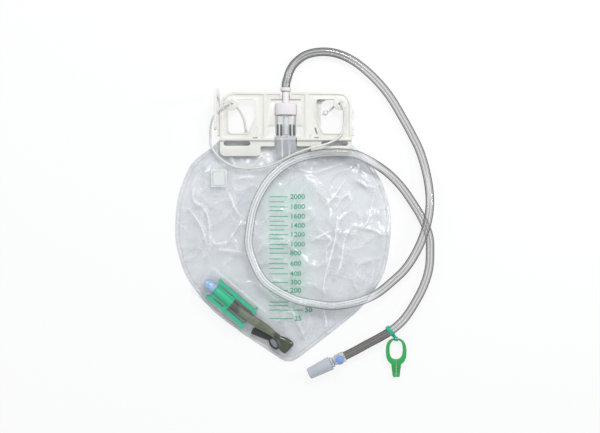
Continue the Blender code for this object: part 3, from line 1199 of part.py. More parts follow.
def main() -> None:
    """Build every piece."""
    clear_scene()
    back = finish("back_film_white", (0.80, 0.80, 0.84), 0.45)
    clear = finish("clear_film", (0.80, 0.81, 0.86), 0.12)
    cream = finish("filter_cream", (0.85, 0.84, 0.78), 0.8)
    ivory = finish("ivory_plastic", (0.88, 0.87, 0.80), 0.4)
    frost = finish("frosted_plastic", (0.85, 0.83, 0.84), 0.3)
    chamber = finish("clear_chamber", (0.72, 0.73, 0.76), 0.1)
    valve = finish("valve_sleeve", (0.78, 0.79, 0.84), 0.3)
    tube = finish("clear_tube", (0.62, 0.62, 0.64), 0.12)
    string = finish("string_white", (0.86, 0.86, 0.82), 0.4)
    green = finish("green_plastic", (0.02, 0.48, 0.26), 0.3)
    teal = finish("teal_plastic", (0.0, 0.46, 0.30), 0.3)
    blue = finish("blue_tint", (0.42, 0.52, 0.80), 0.2)
    olive = finish("olive_rubber", (0.16, 0.16, 0.10), 0.3)
    black = finish("black_rubber", (0.02, 0.02, 0.02), 0.35)

    make_back_film(back)
    make_front_film(clear)
    make_air_vent(clear, cream)
    make_hanger_plate(ivory)
    make_hook("left_hook", -1.0, True, ivory)
    make_hook("right_hook", 1.0, False, ivory)
    make_inlet(frost)
    make_chamber(frost, chamber, valve)
    make_holder(green)
    make_nozzle(blue)
    make_outlet_tube(olive)
    make_outlet_port(olive)
    make_outlet_strap(black)
    make_outlet_pocket(clear)
    cord("drainage_tube", TUBE_ROUTE, TUBE_RADIUS, TUBE_SPACING, tube)
    cord("hanging_string", STRING_ROUTE, STRING_RADIUS, STRING_SPACING, string)
    make_knot("left_string_knot", STRING_ROUTE[1], STRING_ROUTE[0], string)
    make_knot("right_string_knot", STRING_ROUTE[-2], STRING_ROUTE[-1], string)
    make_sampling_port(chamber, blue)
    make_connector(chamber, frost)
    make_clip_strap(teal)
    make_sheet_clip(green)


main()
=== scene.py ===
"""Looks of a two-litre urine drainage bag: its films, print, cords and finishes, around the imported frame.

The frame's axes are kept: the bag lies on its back, +X to the right, +Y to the hanger and +Z out of its
front.  Sizes are in metres where nothing else is said.
"""
from __future__ import annotations

import json
import logging
import math
from dataclasses import dataclass, field
from enum import Enum
from typing import Sequence

import bmesh
import bpy
from mathutils import Matrix, Vector, noise
from mathutils.bvhtree import BVHTree
from mathutils.kdtree import KDTree

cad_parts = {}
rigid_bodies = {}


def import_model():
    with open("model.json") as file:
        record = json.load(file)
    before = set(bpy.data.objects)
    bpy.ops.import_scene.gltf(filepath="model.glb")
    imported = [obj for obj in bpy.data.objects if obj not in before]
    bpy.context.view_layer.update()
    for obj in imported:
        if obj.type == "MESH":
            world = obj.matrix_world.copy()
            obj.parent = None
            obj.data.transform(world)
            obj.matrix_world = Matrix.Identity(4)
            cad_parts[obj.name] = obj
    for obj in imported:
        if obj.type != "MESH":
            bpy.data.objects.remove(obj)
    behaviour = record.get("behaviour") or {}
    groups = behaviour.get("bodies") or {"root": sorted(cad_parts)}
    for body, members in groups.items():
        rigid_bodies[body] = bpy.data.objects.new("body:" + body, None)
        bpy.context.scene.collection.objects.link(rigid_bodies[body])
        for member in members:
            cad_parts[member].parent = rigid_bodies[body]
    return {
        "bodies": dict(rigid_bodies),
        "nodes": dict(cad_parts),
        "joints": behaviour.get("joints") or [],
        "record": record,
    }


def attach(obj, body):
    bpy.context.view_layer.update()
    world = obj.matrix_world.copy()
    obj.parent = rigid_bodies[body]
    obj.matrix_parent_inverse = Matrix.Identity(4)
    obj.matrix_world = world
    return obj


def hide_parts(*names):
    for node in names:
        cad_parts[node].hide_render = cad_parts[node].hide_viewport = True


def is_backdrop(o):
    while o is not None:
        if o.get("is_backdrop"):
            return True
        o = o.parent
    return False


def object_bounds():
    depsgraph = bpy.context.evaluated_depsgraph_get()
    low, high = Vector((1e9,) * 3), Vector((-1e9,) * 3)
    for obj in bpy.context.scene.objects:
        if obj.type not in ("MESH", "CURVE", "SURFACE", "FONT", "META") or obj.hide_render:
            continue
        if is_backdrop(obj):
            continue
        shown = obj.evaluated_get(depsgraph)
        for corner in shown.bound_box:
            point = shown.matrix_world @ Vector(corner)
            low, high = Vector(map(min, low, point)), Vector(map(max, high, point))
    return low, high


log = logging.getLogger("drainage_bag")

Socket = bpy.types.NodeSocket

MM = 0.001
AXIS_X = 0.0034
WELD_ANGLE = math.radians(32.0)
WELD_REACH = 0.00002
TUBE_DIAMETER = 0.0103
STRING_DIAMETER = 0.0026
WHITE = (1.0, 1.0, 1.0, 1.0)


def linear(value: int) -> float:
    """Turn one channel as it is seen, in 0 to 255, into the scene's linear value."""
    share = value / 255.0
    return share / 12.92 if share <= 0.04045 else ((share + 0.055) / 1.055) ** 2.4


def seen(colour: tuple[int, int, int]) -> tuple[float, float, float, float]:
    """Turn a colour as it is seen into the scene's linear values."""
    return (*map(linear, colour), 1.0)


def metres(*spots: tuple) -> tuple:
    """Turn places in tenths of a millimetre into metres."""
    return tuple(tuple(value / 10000.0 for value in spot) for spot in spots)


# Shader nodes

class NodePlan:
    """Adds nodes to one tree and links them."""

    def __init__(self, tree: bpy.types.NodeTree) -> None:
        """Keep the tree."""
        self.tree = tree

    def feed(self, node: bpy.types.Node, inputs: dict) -> None:
        """Fill a node's inputs.

        Args:
            node: the node.
            inputs: by name or number, a value or the socket to link from.
        """
        for name, value in inputs.items():
            if isinstance(value, Socket):
                self.tree.links.new(value, node.inputs[name])
            else:
                node.inputs[name].default_value = value

    def add(self, kind: str, inputs: dict | None = None, **settings: object) -> bpy.types.Node:
        """Add a node.

        Args:
            kind: the node's type.
            inputs: what goes into it, as in feed.
            settings: the node's own settings.

        Returns:
            The new node.
        """
        node = self.tree.nodes.new(kind)
        for name, value in settings.items():
            setattr(node, name, value)
        self.feed(node, inputs or {})
        return node

    def calc(self, operation: str, *values: Socket | float, clamp: bool = False) -> Socket:
        """Add a Math node and give its result."""
        inputs = dict(enumerate(values))
        return self.add('ShaderNodeMath', inputs, operation=operation, use_clamp=clamp).outputs[0]

    def mix(self, share: Socket, first: Socket | tuple | float, second: Socket | tuple | float,
            kind: str = 'RGBA') -> Socket:
        """Mix two colours, or two numbers where the kind is FLOAT, and give the result."""
        inputs = {"Factor": share, "A": first, "B": second}
        return self.add('ShaderNodeMix', inputs, data_type=kind).outputs["Result"]

    def spread(self, value: Socket, low: float, high: Socket | float, first: float = 0.0, last: float = 1.0,
               kind: str = 'LINEAR') -> Socket:
        """Spread the span from low to high over first to last, and give the result."""
        inputs = {"Value": value, "From Min": low, "From Max": high, "To Min": first, "To Max": last}
        return self.add('ShaderNodeMapRange', inputs, interpolation_type=kind).outputs["Result"]

    def grazing(self) -> Socket:
        """Give how far a surface is turned away: 0 face-on, 1 edge-on."""
        return self.add('ShaderNodeLayerWeight', {"Blend": 0.5}).outputs["Facing"]

    def group(self, shared: bpy.types.NodeTree, **values: tuple | float) -> bpy.types.NodeOutputs:
        """Place a shared group with its own values, and give its outputs."""
        return self.add('ShaderNodeGroup', values, node_tree=shared).outputs

    def bump(self, height: Socket, distance: float, under: Socket | None = None) -> Socket:
        """Add a Bump node.

        Args:
            height: the height.
            distance: how far a height of 1 stands up, in metres.
            under: the normal to build on, if any.

        Returns:
            The normal.
        """
        made = self.add('ShaderNodeBump', {"Height": height, "Distance": distance})
        if under is not None:
            self.feed(made, {"Normal": under})
        return made.outputs["Normal"]


class MaterialPlan(NodePlan):
    """Builds one material round its Principled shader."""

    def __init__(self, name: str, plain: dict) -> None:
        """Start the material.

        Args:
            name: its name.
            plain: the shader's values that are the same all over.
        """
        self.material = bpy.data.materials.new(name)
        self.material.use_nodes = True
        super().__init__(self.material.node_tree)
        self.shader = self.tree.nodes["Principled BSDF"]
        self.feed(self.shader, plain)


class PatternPlan(NodePlan):
    """Builds one shared group on the object's own coordinates."""

    def __init__(self, name: str, **inputs: tuple | float) -> None:
        """Start the group.

        Args:
            name: its name.
            inputs: the default value of each input; a tuple is a colour.
        """
        super().__init__(bpy.data.node_groups.new(name, 'ShaderNodeTree'))
        for socket, value in inputs.items():
            self._socket(socket, 'INPUT', isinstance(value, tuple)).default_value = value
        self.given = self.add('NodeGroupInput').outputs
        self.place = self.add('ShaderNodeTexCoord').outputs["Object"]

    def _socket(self, name: str, way: str, coloured: bool) -> bpy.types.NodeTreeInterfaceSocket:
        """Add a colour socket or a number socket to the group."""
        kind = 'NodeSocketColor' if coloured else 'NodeSocketFloat'
        return self.tree.interface.new_socket(name=name, in_out=way, socket_type=kind)

    def noise(self, scale: Socket | float, detail: float, result: str = "Fac") -> Socket:
        """Add a noise and give one of its results."""
        inputs = {"Vector": self.place, "Scale": scale, "Detail": detail}
        return self.add('ShaderNodeTexNoise', inputs).outputs[result]

    def finish(self, **results: Socket) -> bpy.types.NodeTree:
        """Put the results out under their names.

        Args:
            results: what feeds each output.

        Returns:
            The group.
        """
        for name, result in results.items():
            self._socket(name, 'OUTPUT', result.type == 'RGBA')
        self.add('NodeGroupOutput', results)
        return self.tree


class Patterns:
    """The node groups that the finishes share, each built once."""

    finer_noise: float = 7.0
    swell_share: float = 0.12
    stray_scale: float = 16.0
    stray_reach: float = 0.016
    # The patch noise sets where the painted fold highlights of the film show.
    patch_scale: float = 19.0
    patch_start: float = 0.47
    patch_end: float = 0.66

    def __init__(self) -> None:
        """Build the groups."""
        self.clouding = self._build_clouding()
        self.surface = self._build_surface()
        self.zone = self._build_zone()
        self.crumple = self._build_crumple()

    def _build_clouding(self) -> bpy.types.NodeTree:
        """Build soft uneven colour, as moulded plastic and vinyl have it.

        Returns:
            The group: a colour and its darker twin are mixed by two scales of noise.
        """
        plan = PatternPlan("uneven_colour", Colour=(0.8, 0.8, 0.8, 1.0), Darker=(0.6, 0.6, 0.6, 1.0),
                           Scale=60.0, Amount=0.4)
        broad = plan.noise(plan.given["Scale"], detail=3.0)
        fine = plan.noise(plan.calc('MULTIPLY', plan.given["Scale"], self.finer_noise), detail=2.0)
        share = plan.calc('MULTIPLY', plan.calc('MULTIPLY', broad, fine), plan.given["Amount"])
        return plan.finish(Colour=plan.mix(share, plan.given["Colour"], plan.given["Darker"]))

    def _build_surface(self) -> bpy.types.NodeTree:
        """Build the fine relief and uneven gloss of a moulded or cast surface.

        Returns:
            The group: a height for a Bump node, and a roughness.
        """
        plan = PatternPlan("moulded_surface", Scale=400.0, Roughness=0.3, Spread=0.1, Waves=0.3)
        grain = plan.noise(plan.given["Scale"], detail=4.0)
        swell = plan.noise(plan.calc('MULTIPLY', plan.given["Scale"], self.swell_share), detail=1.0)
        return plan.finish(
            Height=plan.calc('MULTIPLY_ADD', swell, plan.given["Waves"], grain),
            Roughness=plan.calc('MULTIPLY_ADD', swell, plan.given["Spread"], plan.given["Roughness"]))

    def _build_zone(self) -> bpy.types.NodeTree:
        """Build a soft-edged box on the bag's plane.

        Returns:
            The group: 1 inside the box, falling to 0 over the softness.
        """
        plan = PatternPlan("soft_zone", Left=-1.0, Right=1.0, Low=-1.0, High=1.0, Softness=0.01)
        axes = plan.add('ShaderNodeSeparateXYZ', {0: plan.place}).outputs
        inside = None
        for axis, low, high in (("X", "Left", "Right"), ("Y", "Low", "High")):
            for ends in ((axes[axis], plan.given[low]), (plan.given[high], axes[axis])):
                share = plan.calc('DIVIDE', plan.calc('SUBTRACT', *ends), plan.given["Softness"], clamp=True)
                inside = share if inside is None else plan.calc('MULTIPLY', inside, share)
        return plan.finish(Inside=inside)

    def _build_crumple(self) -> bpy.types.NodeTree:
        """Build the facets of crumpled film and the mask of its fine fold lines, where a painted highlight
        goes.

        Returns:
            The group: a mask of the fold lines, in patches, for the painted highlights, and the height of
                the facets.
        """
        plan = PatternPlan("crumpled_film", Scale=26.0, Line=0.03)
        noise_colour = plan.noise(self.stray_scale, detail=1.0, result="Color")
        stray = plan.add('ShaderNodeVectorMath', {0: noise_colour, "Scale": self.stray_reach},
                         operation='SCALE')
        shifted = plan.add('ShaderNodeVectorMath', {0: plan.place, 1: stray.outputs[0]}).outputs[0]
        cells = {"Vector": shifted, "Scale": plan.given["Scale"]}
        edges = plan.add('ShaderNodeTexVoronoi', cells, feature='DISTANCE_TO_EDGE')
        facets = plan.add('ShaderNodeTexVoronoi', cells)
        line = plan.spread(edges.outputs["Distance"], 0.0, plan.given["Line"], 1.0, 0.0, 'SMOOTHSTEP')
        patch = plan.spread(plan.noise(self.patch_scale, detail=2.0), self.patch_start, self.patch_end)
        return plan.finish(Fold=plan.calc('MULTIPLY', line, patch), Height=facets.outputs["Distance"])


@dataclass(frozen=True)
class Zone:
    """A soft-edged box on the bag's plane."""

    left: float
    right: float
    low: float
    high: float
    softness: float

    def place(self, plan: NodePlan, patterns: Patterns) -> Socket:
        """Place the zone in a material and give its mask, 1 inside."""
        edges = {name.capitalize(): value for name, value in vars(self).items()}
        return plan.group(patterns.zone, **edges)["Inside"]


# The finishes

@dataclass(frozen=True)
class Crumple:
    """One size of crumpling: its cells per metre, the width and cover of its painted highlight lines, and
    its facets' height.
    """

    scale: float
    line: float
    cover: float
    height: float


@dataclass(frozen=True)
class FilmFinish:
    """Clear vinyl film: crumpled facets, painted white highlights along its fold lines, a firmer weld and a
    pale green print ground.
    """

    name: str
    colour: tuple
    darker: tuple
    # The white of the painted highlights on the fold lines, and how firmly they cover.
    fold_colour: tuple
    tint: tuple
    cover: float
    fold_cover: float
    edge_cover: float
    roughness: float = 0.17
    cloud_scale: float = 24.0
    clouding: float = 1.6
    broad: Crumple = Crumple(24.0, 0.035, 0.32, 0.008)
    fine: Crumple = Crumple(62.0, 0.07, 0.16, 0.0022)
    print_ground: Zone = Zone(-0.028, 0.040, -0.118, 0.060, 0.022)
    tint_share: float = 0.55
    edge_start: float = 0.05
    edge_end: float = 0.8

    def make(self, patterns: Patterns) -> bpy.types.Material:
        """Make the material.

        Args:
            patterns: the shared node groups.

        Returns:
            The film's material, which reads the sheet's own fold attribute and paints white highlights on
            the folds.
        """
        plan = MaterialPlan(self.name, {"IOR": 1.52, "Specular IOR Level": 0.8, "Roughness": self.roughness})
        cloud = plan.group(patterns.clouding, Colour=seen(self.colour), Darker=seen(self.darker),
                           Scale=self.cloud_scale, Amount=self.clouding)["Colour"]
        # Each crumple adds the cover of its painted highlight lines.
        covers, normal = [], None
        for crumple in (self.broad, self.fine):
            film = plan.group(patterns.crumple, Scale=crumple.scale, Line=crumple.line)
            covers.append(plan.calc('MULTIPLY', film["Fold"], crumple.cover))
            normal = plan.bump(film["Height"], crumple.height, normal)
        # The sheet's fold attribute holds painted highlights on its creases, ridges and beside the valve
        # sleeve, and the weld's paler band.
        pressed = plan.add('ShaderNodeAttribute', attribute_name="fold").outputs["Fac"]
        fold = plan.calc('ADD', plan.calc('ADD', *covers), pressed, clamp=True)
        ground = plan.calc('MULTIPLY', self.print_ground.place(plan, patterns), self.tint_share)
        turned = plan.spread(plan.grazing(), self.edge_start, self.edge_end, self.cover, self.edge_cover)
        # Fold lines get the white of a painted highlight and a firmer cover.
        plan.feed(plan.shader, {
            "Base Color": plan.mix(fold, plan.mix(ground, cloud, seen(self.tint)), seen(self.fold_colour)),
            "Alpha": plan.mix(fold, turned, self.fold_cover, 'FLOAT'), "Normal": normal})
        return plan.material


@dataclass(frozen=True)
class TubeTone:
    """How the clear tube looks in one zone: colour and cover at its middle, at its painted lines inside the
    wall and at its painted shaded edges.
    """

    colour: tuple
    line: tuple
    edge: tuple
    cover: float
    line_cover: float
    edge_cover: float


@dataclass(frozen=True)
class TubeFinish:
    """Clear vinyl tube with painted light and shade: one tone, and another in each zone: over the film, with
    a painted white highlight line, and darker near its far end and at its top.
    """

    name: str
    tones: tuple
    zones: tuple
    # Where the painted lines inside the wall lie, by how far the wall is turned away, and how strong they
    # are.
    bore: tuple = ((0.0, 0.7), (0.012, 0.7), (0.030, 0.0), (0.085, 0.0), (0.17, 1.0), (0.24, 0.55),
                   (1.0, 0.0))
    edge_start: float = 0.24
    edge_end: float = 0.44
    grain: float = 0.00001

    def make(self, patterns: Patterns) -> bpy.types.Material:
        """Make the material.

        Args:
            patterns: the shared node groups.

        Returns:
            The tube's material, with painted shade and a firmer cover at its edges where the wall is seen
            edge-on.
        """
        plan = MaterialPlan(self.name, {"IOR": 1.5, "Specular IOR Level": 0.9})
        surface = plan.group(patterns.surface, Scale=260.0, Roughness=0.05, Spread=0.08)
        facing = plan.grazing()
        edge = plan.spread(facing, self.edge_start, self.edge_end, kind='SMOOTHSTEP')
        # A ramp on how far the wall is turned paints the lines inside the wall.
        ramp = plan.add('ShaderNodeValToRGB', {"Fac": facing})
        stops = ramp.color_ramp.elements
        for place, _ in self.bore[1:-1]:
            stops.new(place)
        for stop, (_, depth) in zip(stops, self.bore):
            stop.color = (depth, depth, depth, 1.0)
        bore = ramp.outputs["Color"]
        colour = cover = None
        for tone, zone in zip(self.tones, (None,) + self.zones):
            # Each tone's line and edge colours are painted light and shade.
            body = plan.mix(edge, plan.mix(bore, seen(tone.colour), seen(tone.line)), seen(tone.edge))
            firm = plan.spread(bore, 0.0, 1.0, tone.cover, tone.line_cover)
            hold = plan.mix(edge, firm, tone.edge_cover, 'FLOAT')
            if zone is None:
                colour, cover = body, hold
                continue
            inside = zone.place(plan, patterns)
            colour, cover = plan.mix(inside, colour, body), plan.mix(inside, cover, hold, 'FLOAT')
        plan.feed(plan.shader, {"Base Color": colour, "Alpha": cover, "Roughness": surface["Roughness"],
                                "Normal": plan.bump(surface["Height"], self.grain)})
        return plan.material


@dataclass(frozen=True)
class Finish:
    """One finish: its colours, gloss, relief and how much it lets through."""

    name: str
    colour: tuple
    darker: tuple
    roughness: float = 0.35
    cloud_scale: float = 60.0
    clouding: float = 0.5
    grain_scale: float = 900.0
    relief: float = 0.02
    waves: float = 0.3
    coat: float = 0.0
    specular: float = 0.5
    sheer: float = 1.0
    sheer_edge: float = 1.0
    # Painted shade at grazing angles, where the surface turns away.
    edge_colour: tuple | None = None
    edge_start: float = 0.35
    edge_end: float = 0.85
    scatter: float = 0.0
    band_colour: tuple | None = None
    band_cover: float = 0.0
    bands: tuple = ()

    def make(self, patterns: Patterns) -> bpy.types.Material:
        """Make the material.

        Args:
            patterns: the shared node groups.

        Returns:
            The material, whose colour darkens at grazing angles with a painted edge shade, which thickens
            there where it lets light through, and which is darker, and firmer where it is sheer, in its
            bands.
        """
        plan = MaterialPlan(self.name, {
            "IOR": 1.45, "Specular IOR Level": self.specular, "Coat Weight": self.coat,
            "Coat Roughness": 0.08, "Subsurface Weight": self.scatter, "Subsurface Scale": 0.002})
        colour = plan.group(patterns.clouding, Colour=seen(self.colour), Darker=seen(self.darker),
                            Scale=self.cloud_scale, Amount=self.clouding)["Colour"]
        surface = plan.group(patterns.surface, Scale=self.grain_scale, Roughness=self.roughness,
                             Waves=self.waves)
        cover = None
        if self.edge_colour is not None or self.sheer < 1.0:
            edge = plan.spread(plan.grazing(), self.edge_start, self.edge_end, kind='SMOOTHSTEP')
            # Painted shade darkens the colour where the surface is seen edge-on.
            if self.edge_colour is not None:
                colour = plan.mix(edge, colour, seen(self.edge_colour))
            if self.sheer < 1.0:
                cover = plan.spread(edge, 0.0, 1.0, self.sheer, self.sheer_edge)
        for band in self.bands:
            inside = band.place(plan, patterns)
            colour = plan.mix(inside, colour, seen(self.band_colour))
            if cover is not None:
                cover = plan.mix(inside, cover, self.band_cover, 'FLOAT')
        plan.feed(plan.shader, {"Base Color": colour, "Roughness": surface["Roughness"],
                                "Normal": plan.bump(surface["Height"], self.relief * MM)})
        if cover is not None:
            plan.feed(plan.shader, {"Alpha": cover})
        return plan.material


class Look(Enum):
    """The finishes of the bag's pieces."""

    # Each finish's edge colour is painted shade at its grazing edges.
    IVORY = Finish("ivory_plastic", (229, 229, 222), (208, 207, 199), 0.34, 30.0, 0.5, 700.0, 0.03,
                   coat=0.15, scatter=0.12)
    BACK_FILM = Finish("back_film", (252, 253, 254), (233, 237, 241), 0.32, 22.0, 1.4, 500.0, 0.05, 2.5)
    # The front film's white fold colour is a painted highlight on its fold lines.
    FRONT_FILM = FilmFinish("front_film", (247, 249, 250), (197, 204, 211), (255, 255, 255),
                            (196, 238, 218), 0.16, 0.78, 0.55)
    POCKET = Finish("pocket_film", (250, 252, 254), (232, 237, 243), 0.10, 60.0, 0.4, 420.0, 0.04, 2.0,
                    specular=0.9, sheer=0.03, sheer_edge=0.34, edge_start=0.2, edge_end=0.95)
    FILTER = Finish("filter_paper", (222, 229, 225), (200, 208, 204), 0.85, 300.0, 0.8, 2600.0, 0.12)
    VENT_FRAME = Finish("vent_frame", (243, 246, 247), (222, 227, 230), 0.18, 80.0, 0.6, 900.0, 0.02,
                        sheer=0.45, sheer_edge=0.9, specular=0.8)
    FROSTED = Finish("frosted_plastic", (238, 233, 235), (220, 214, 218), 0.38, 60.0, 0.5, 900.0, 0.03,
                     sheer=0.86, sheer_edge=0.97, edge_colour=(204, 198, 202))
    CHAMBER = Finish("clear_chamber", (232, 235, 236), (206, 210, 213), 0.08, 60.0, 0.4, 300.0, 0.01,
                     specular=0.9, sheer=0.12, sheer_edge=0.62, edge_colour=(152, 156, 160),
                     edge_start=0.12, edge_end=0.6, band_colour=(84, 87, 89), band_cover=0.58,
                     bands=tuple(Zone(left, right, 0.1068, 0.1226, 0.0005) for left, right in (
                         (-0.0078, -0.0048), (-0.0036, -0.0004), (0.0072, 0.0104), (0.0116, 0.0148))))
    SLEEVE = Finish("valve_sleeve", (250, 252, 253), (232, 237, 241), 0.3, 90.0, 0.8, 700.0, 0.04,
                    sheer=0.30, sheer_edge=0.7, edge_colour=(196, 202, 207))
    # The tube's lines and edges are painted light and shade; over the film its line is a painted white
    # highlight.
    TUBE = TubeFinish("clear_tube",
                      (TubeTone((196, 196, 193), (104, 104, 102), (60, 60, 58), 0.28, 0.56, 0.80),
                       TubeTone((228, 232, 233), (255, 255, 255), (158, 163, 165), 0.14, 0.78, 0.46),
                       TubeTone((78, 75, 71), (122, 119, 115), (34, 32, 30), 0.76, 0.78, 0.93),
                       TubeTone((172, 173, 172), (74, 75, 74), (58, 58, 58), 0.48, 0.78, 0.90)),
                      (Zone(-0.2, 0.116, -0.106, 0.096, 0.018), Zone(0.0, 0.130, -0.2, -0.111, 0.004),
                       Zone(-0.1, 0.098, 0.140, 0.4, 0.03)))
    STRING = Finish("string_plastic", (233, 235, 230), (208, 211, 205), 0.25, 120.0, 0.5, 900.0, 0.04,
                    sheer=0.80, sheer_edge=0.98, edge_colour=(168, 172, 168), coat=0.2)
    GREEN = Finish("green_plastic", (0, 202, 152), (0, 140, 106), 0.24, 60.0, 0.9, 600.0, 0.02,
                   edge_colour=(0, 116, 84), coat=0.08, specular=0.25)
    CLIP = Finish("clip_plastic", (34, 174, 86), (14, 132, 60), 0.25, 60.0, 0.5, 600.0, 0.02, coat=0.3,
                  edge_colour=(8, 96, 44))
    TEAL = Finish("strap_plastic", (4, 180, 146), (0, 136, 110), 0.28, 60.0, 0.5, 600.0, 0.02, coat=0.3,
                  edge_colour=(0, 98, 78))
    NOZZLE = Finish("nozzle_plastic", (186, 226, 228), (86, 122, 212), 0.12, 170.0, 2.0, 500.0, 0.02,
                    specular=0.9, edge_colour=(122, 152, 206))
    OLIVE = Finish("olive_rubber", (124, 132, 108), (54, 60, 46), 0.24, 62.0, 1.7, 500.0, 0.05,
                   edge_colour=(36, 42, 34), coat=0.35, band_colour=(50, 54, 47),
                   bands=(Zone(-0.0680, -0.0500, -0.1040, -0.0800, 0.003),
                          Zone(-0.0120, 0.0020, -0.1400, -0.1235, 0.003)))
    PORT = Finish("port_rubber", (80, 93, 70), (14, 20, 16), 0.22, 110.0, 2.2, 500.0, 0.05,
                  coat=0.4, edge_colour=(14, 20, 17))
    BLACK = Finish("black_rubber", (40, 48, 46), (20, 26, 26), 0.3, 80.0, 0.8, 700.0, 0.04, coat=0.25)
    PORT_CLEAR = Finish("clear_moulding", (206, 214, 222), (176, 187, 200), 0.12, 90.0, 0.8, 400.0, 0.02,
                        specular=0.9, sheer=0.45, sheer_edge=0.92, edge_colour=(120, 130, 142))
    DRIP_TUBE = Finish("drip_tube", (252, 253, 253), (238, 240, 242), 0.12, 60.0, 0.5, 500.0, 0.01,
                       specular=0.9, edge_colour=(176, 180, 184))
    CAP = Finish("cap_plastic", (214, 219, 225), (190, 197, 206), 0.30, 120.0, 0.8, 700.0, 0.03,
                 sheer=0.66, sheer_edge=0.94, edge_colour=(160, 167, 178))
    SEPTUM = Finish("blue_septum", (134, 170, 234), (78, 120, 208), 0.35, 200.0, 0.6, 900.0, 0.05)
    PRINT = Finish("green_print", (56, 162, 124), (34, 134, 98), 0.45, 300.0, 0.6, 1200.0, 0.01)


class Dresser:
    """Gives pieces their materials, each made once."""

    def __init__(self, frame: dict) -> None:
        """Keep the frame and build what the pieces share.
        """
        self.frame = frame
        self.patterns = Patterns()
        self.smoothing = self._smooth_by_angle()
        self.made: dict[str, bpy.types.Material] = {}

    def dress(self, piece: bpy.types.Object, look: Look) -> None:
        """Put one material on a whole piece.

        Args:
            piece: the piece.
            look: its finish.
        """
        finish = look.value
        if finish.name not in self.made:
            self.made[finish.name] = finish.make(self.patterns)
        piece.data.materials.clear()
        piece.data.materials.append(self.made[finish.name])

    def dress_node(self, name: str, look: Look, edge: float) -> None:
        """Finish a node of the frame and round its edges.

        Args:
            name: the node's name.
            look: its finish.
            edge: the width of the small round on its edges; 0 leaves them sharp.
        """
        node = self.frame["nodes"][name]
        self.dress(node, look)
        node.modifiers.new("joined", 'WELD').merge_threshold = WELD_REACH
        if edge > 0.0:
            ease = node.modifiers.new("eased_edges", 'BEVEL')
            ease.width = edge
            ease.segments = 2
            ease.limit_method = 'ANGLE'
            ease.angle_limit = WELD_ANGLE
            ease.use_clamp_overlap = True
        node.data.shade_smooth()
        node.modifiers.new("smooth", 'NODES').node_group = self.smoothing
        log.info("finished node %s", name)

    @staticmethod
    def _smooth_by_angle() -> bpy.types.NodeTree:
        """Build the group that shades a mesh smooth up to the weld angle.

        Returns:
            The geometry node group.
        """
        plan = NodePlan(bpy.data.node_groups.new("smooth_up_to_angle", 'GeometryNodeTree'))
        for way in ('INPUT', 'OUTPUT'):
            plan.tree.interface.new_socket(name="Geometry", in_out=way, socket_type='NodeSocketGeometry')
        mesh = plan.add('NodeGroupInput').outputs["Geometry"]
        angle = plan.add('GeometryNodeInputMeshEdgeAngle').outputs["Unsigned Angle"]
        soft = plan.add('FunctionNodeCompare', {"A": angle, "B": WELD_ANGLE}, operation='LESS_EQUAL')
        inputs = {"Geometry": mesh, "Shade Smooth": soft.outputs["Result"]}
        edges = plan.add('GeometryNodeSetShadeSmooth', inputs, domain='EDGE')
        plan.add('NodeGroupOutput', {"Geometry": edges.outputs["Geometry"]})
        return plan.tree


def placed(name: str, data: bpy.types.ID) -> bpy.types.Object:
    """Make an object of some data and link it to the scene.

    Args:
        name: the object's name.
        data: its mesh, curve, lamp or camera.

    Returns:
        The object.
    """
    made = bpy.data.objects.new(name, data)
    bpy.context.scene.collection.objects.link(made)
    return made


def new_piece(name: str, bm: bmesh.types.BMesh, smooth: bool = True) -> bpy.types.Object:
    """Turn a bmesh into a piece whose object sits at the origin.

    Args:
        name: the piece's name.
        bm: its shape, in the frame's axes; it is freed.
        smooth: whether its faces are shaded smooth.

    Returns:
        The new object, linked to the scene.
    """
    mesh = bpy.data.meshes.new(name)
    bm.to_mesh(mesh)
    bm.free()
    if smooth:
        mesh.shade_smooth()
    return placed(name, mesh)


def through(points: Sequence[Sequence[float]], steps: int) -> list[Vector]:
    """Read points from the smooth curve through the given ones.

    Args:
        points: the route's own points.
        steps: how many points each span gives.

    Returns:
        The points, ends included.
    """
    route: list[Vector] = []
    for index in range(len(points) - 1):
        b, c = Vector(points[index]), Vector(points[index + 1])
        a = Vector(points[index - 1]) if index else b * 2.0 - c
        d = Vector(points[index + 2]) if index + 2 < len(points) else c * 2.0 - b
        for step in range(steps):
            t = step / steps
            route.append(0.5 * (2.0 * b + (c - a) * t + (2.0 * a - 5.0 * b + 4.0 * c - d) * t * t
                                + (3.0 * b - a - 3.0 * c + d) * t ** 3))
    route.append(Vector(points[-1]))
    return route


def smooth_step(low: float, high: float, value: float) -> float:
    """Rise from 0 at low to 1 at high, without a corner."""
    share = min(max((value - low) / (high - low), 0.0), 1.0)
    return share * share * (3.0 - 2.0 * share)


# The cords

@dataclass
class FreeCord:
    """A free cord: its route, thickness and what is on it."""

    name: str
    node: str
    route: Sequence[Sequence[float]]
    diameter: float
    look: Look
    far_end: str
    stiffness: str
    with_pieces: Sequence[str]
    material_slot: str
    steps: int = 7
    roundness: int = 6

    def build(self, dresser: Dresser) -> bpy.types.Object:
        """Args:
            dresser: gives the material and the frame.

        Returns:
            The curve object.
        """
        inner = through(self.route[1:-1], self.steps)
        points = [Vector(self.route[0])] + inner + [Vector(self.route[-1])]
        curve = bpy.data.curves.new(self.name, 'CURVE')
        curve.dimensions = '3D'
        curve.bevel_depth = self.diameter / 2.0
        curve.bevel_resolution = self.roundness
        curve.use_fill_caps = True
        spline = curve.splines.new('POLY')
        spline.points.add(len(points) - 1)
        for knot, place in zip(spline.points, points):
            knot.co = (*place, 1.0)
        spline.use_smooth = True
        piece = placed(self.name, curve)
        dresser.dress(piece, self.look)
        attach(piece, "root")
        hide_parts(self.node)
        return piece


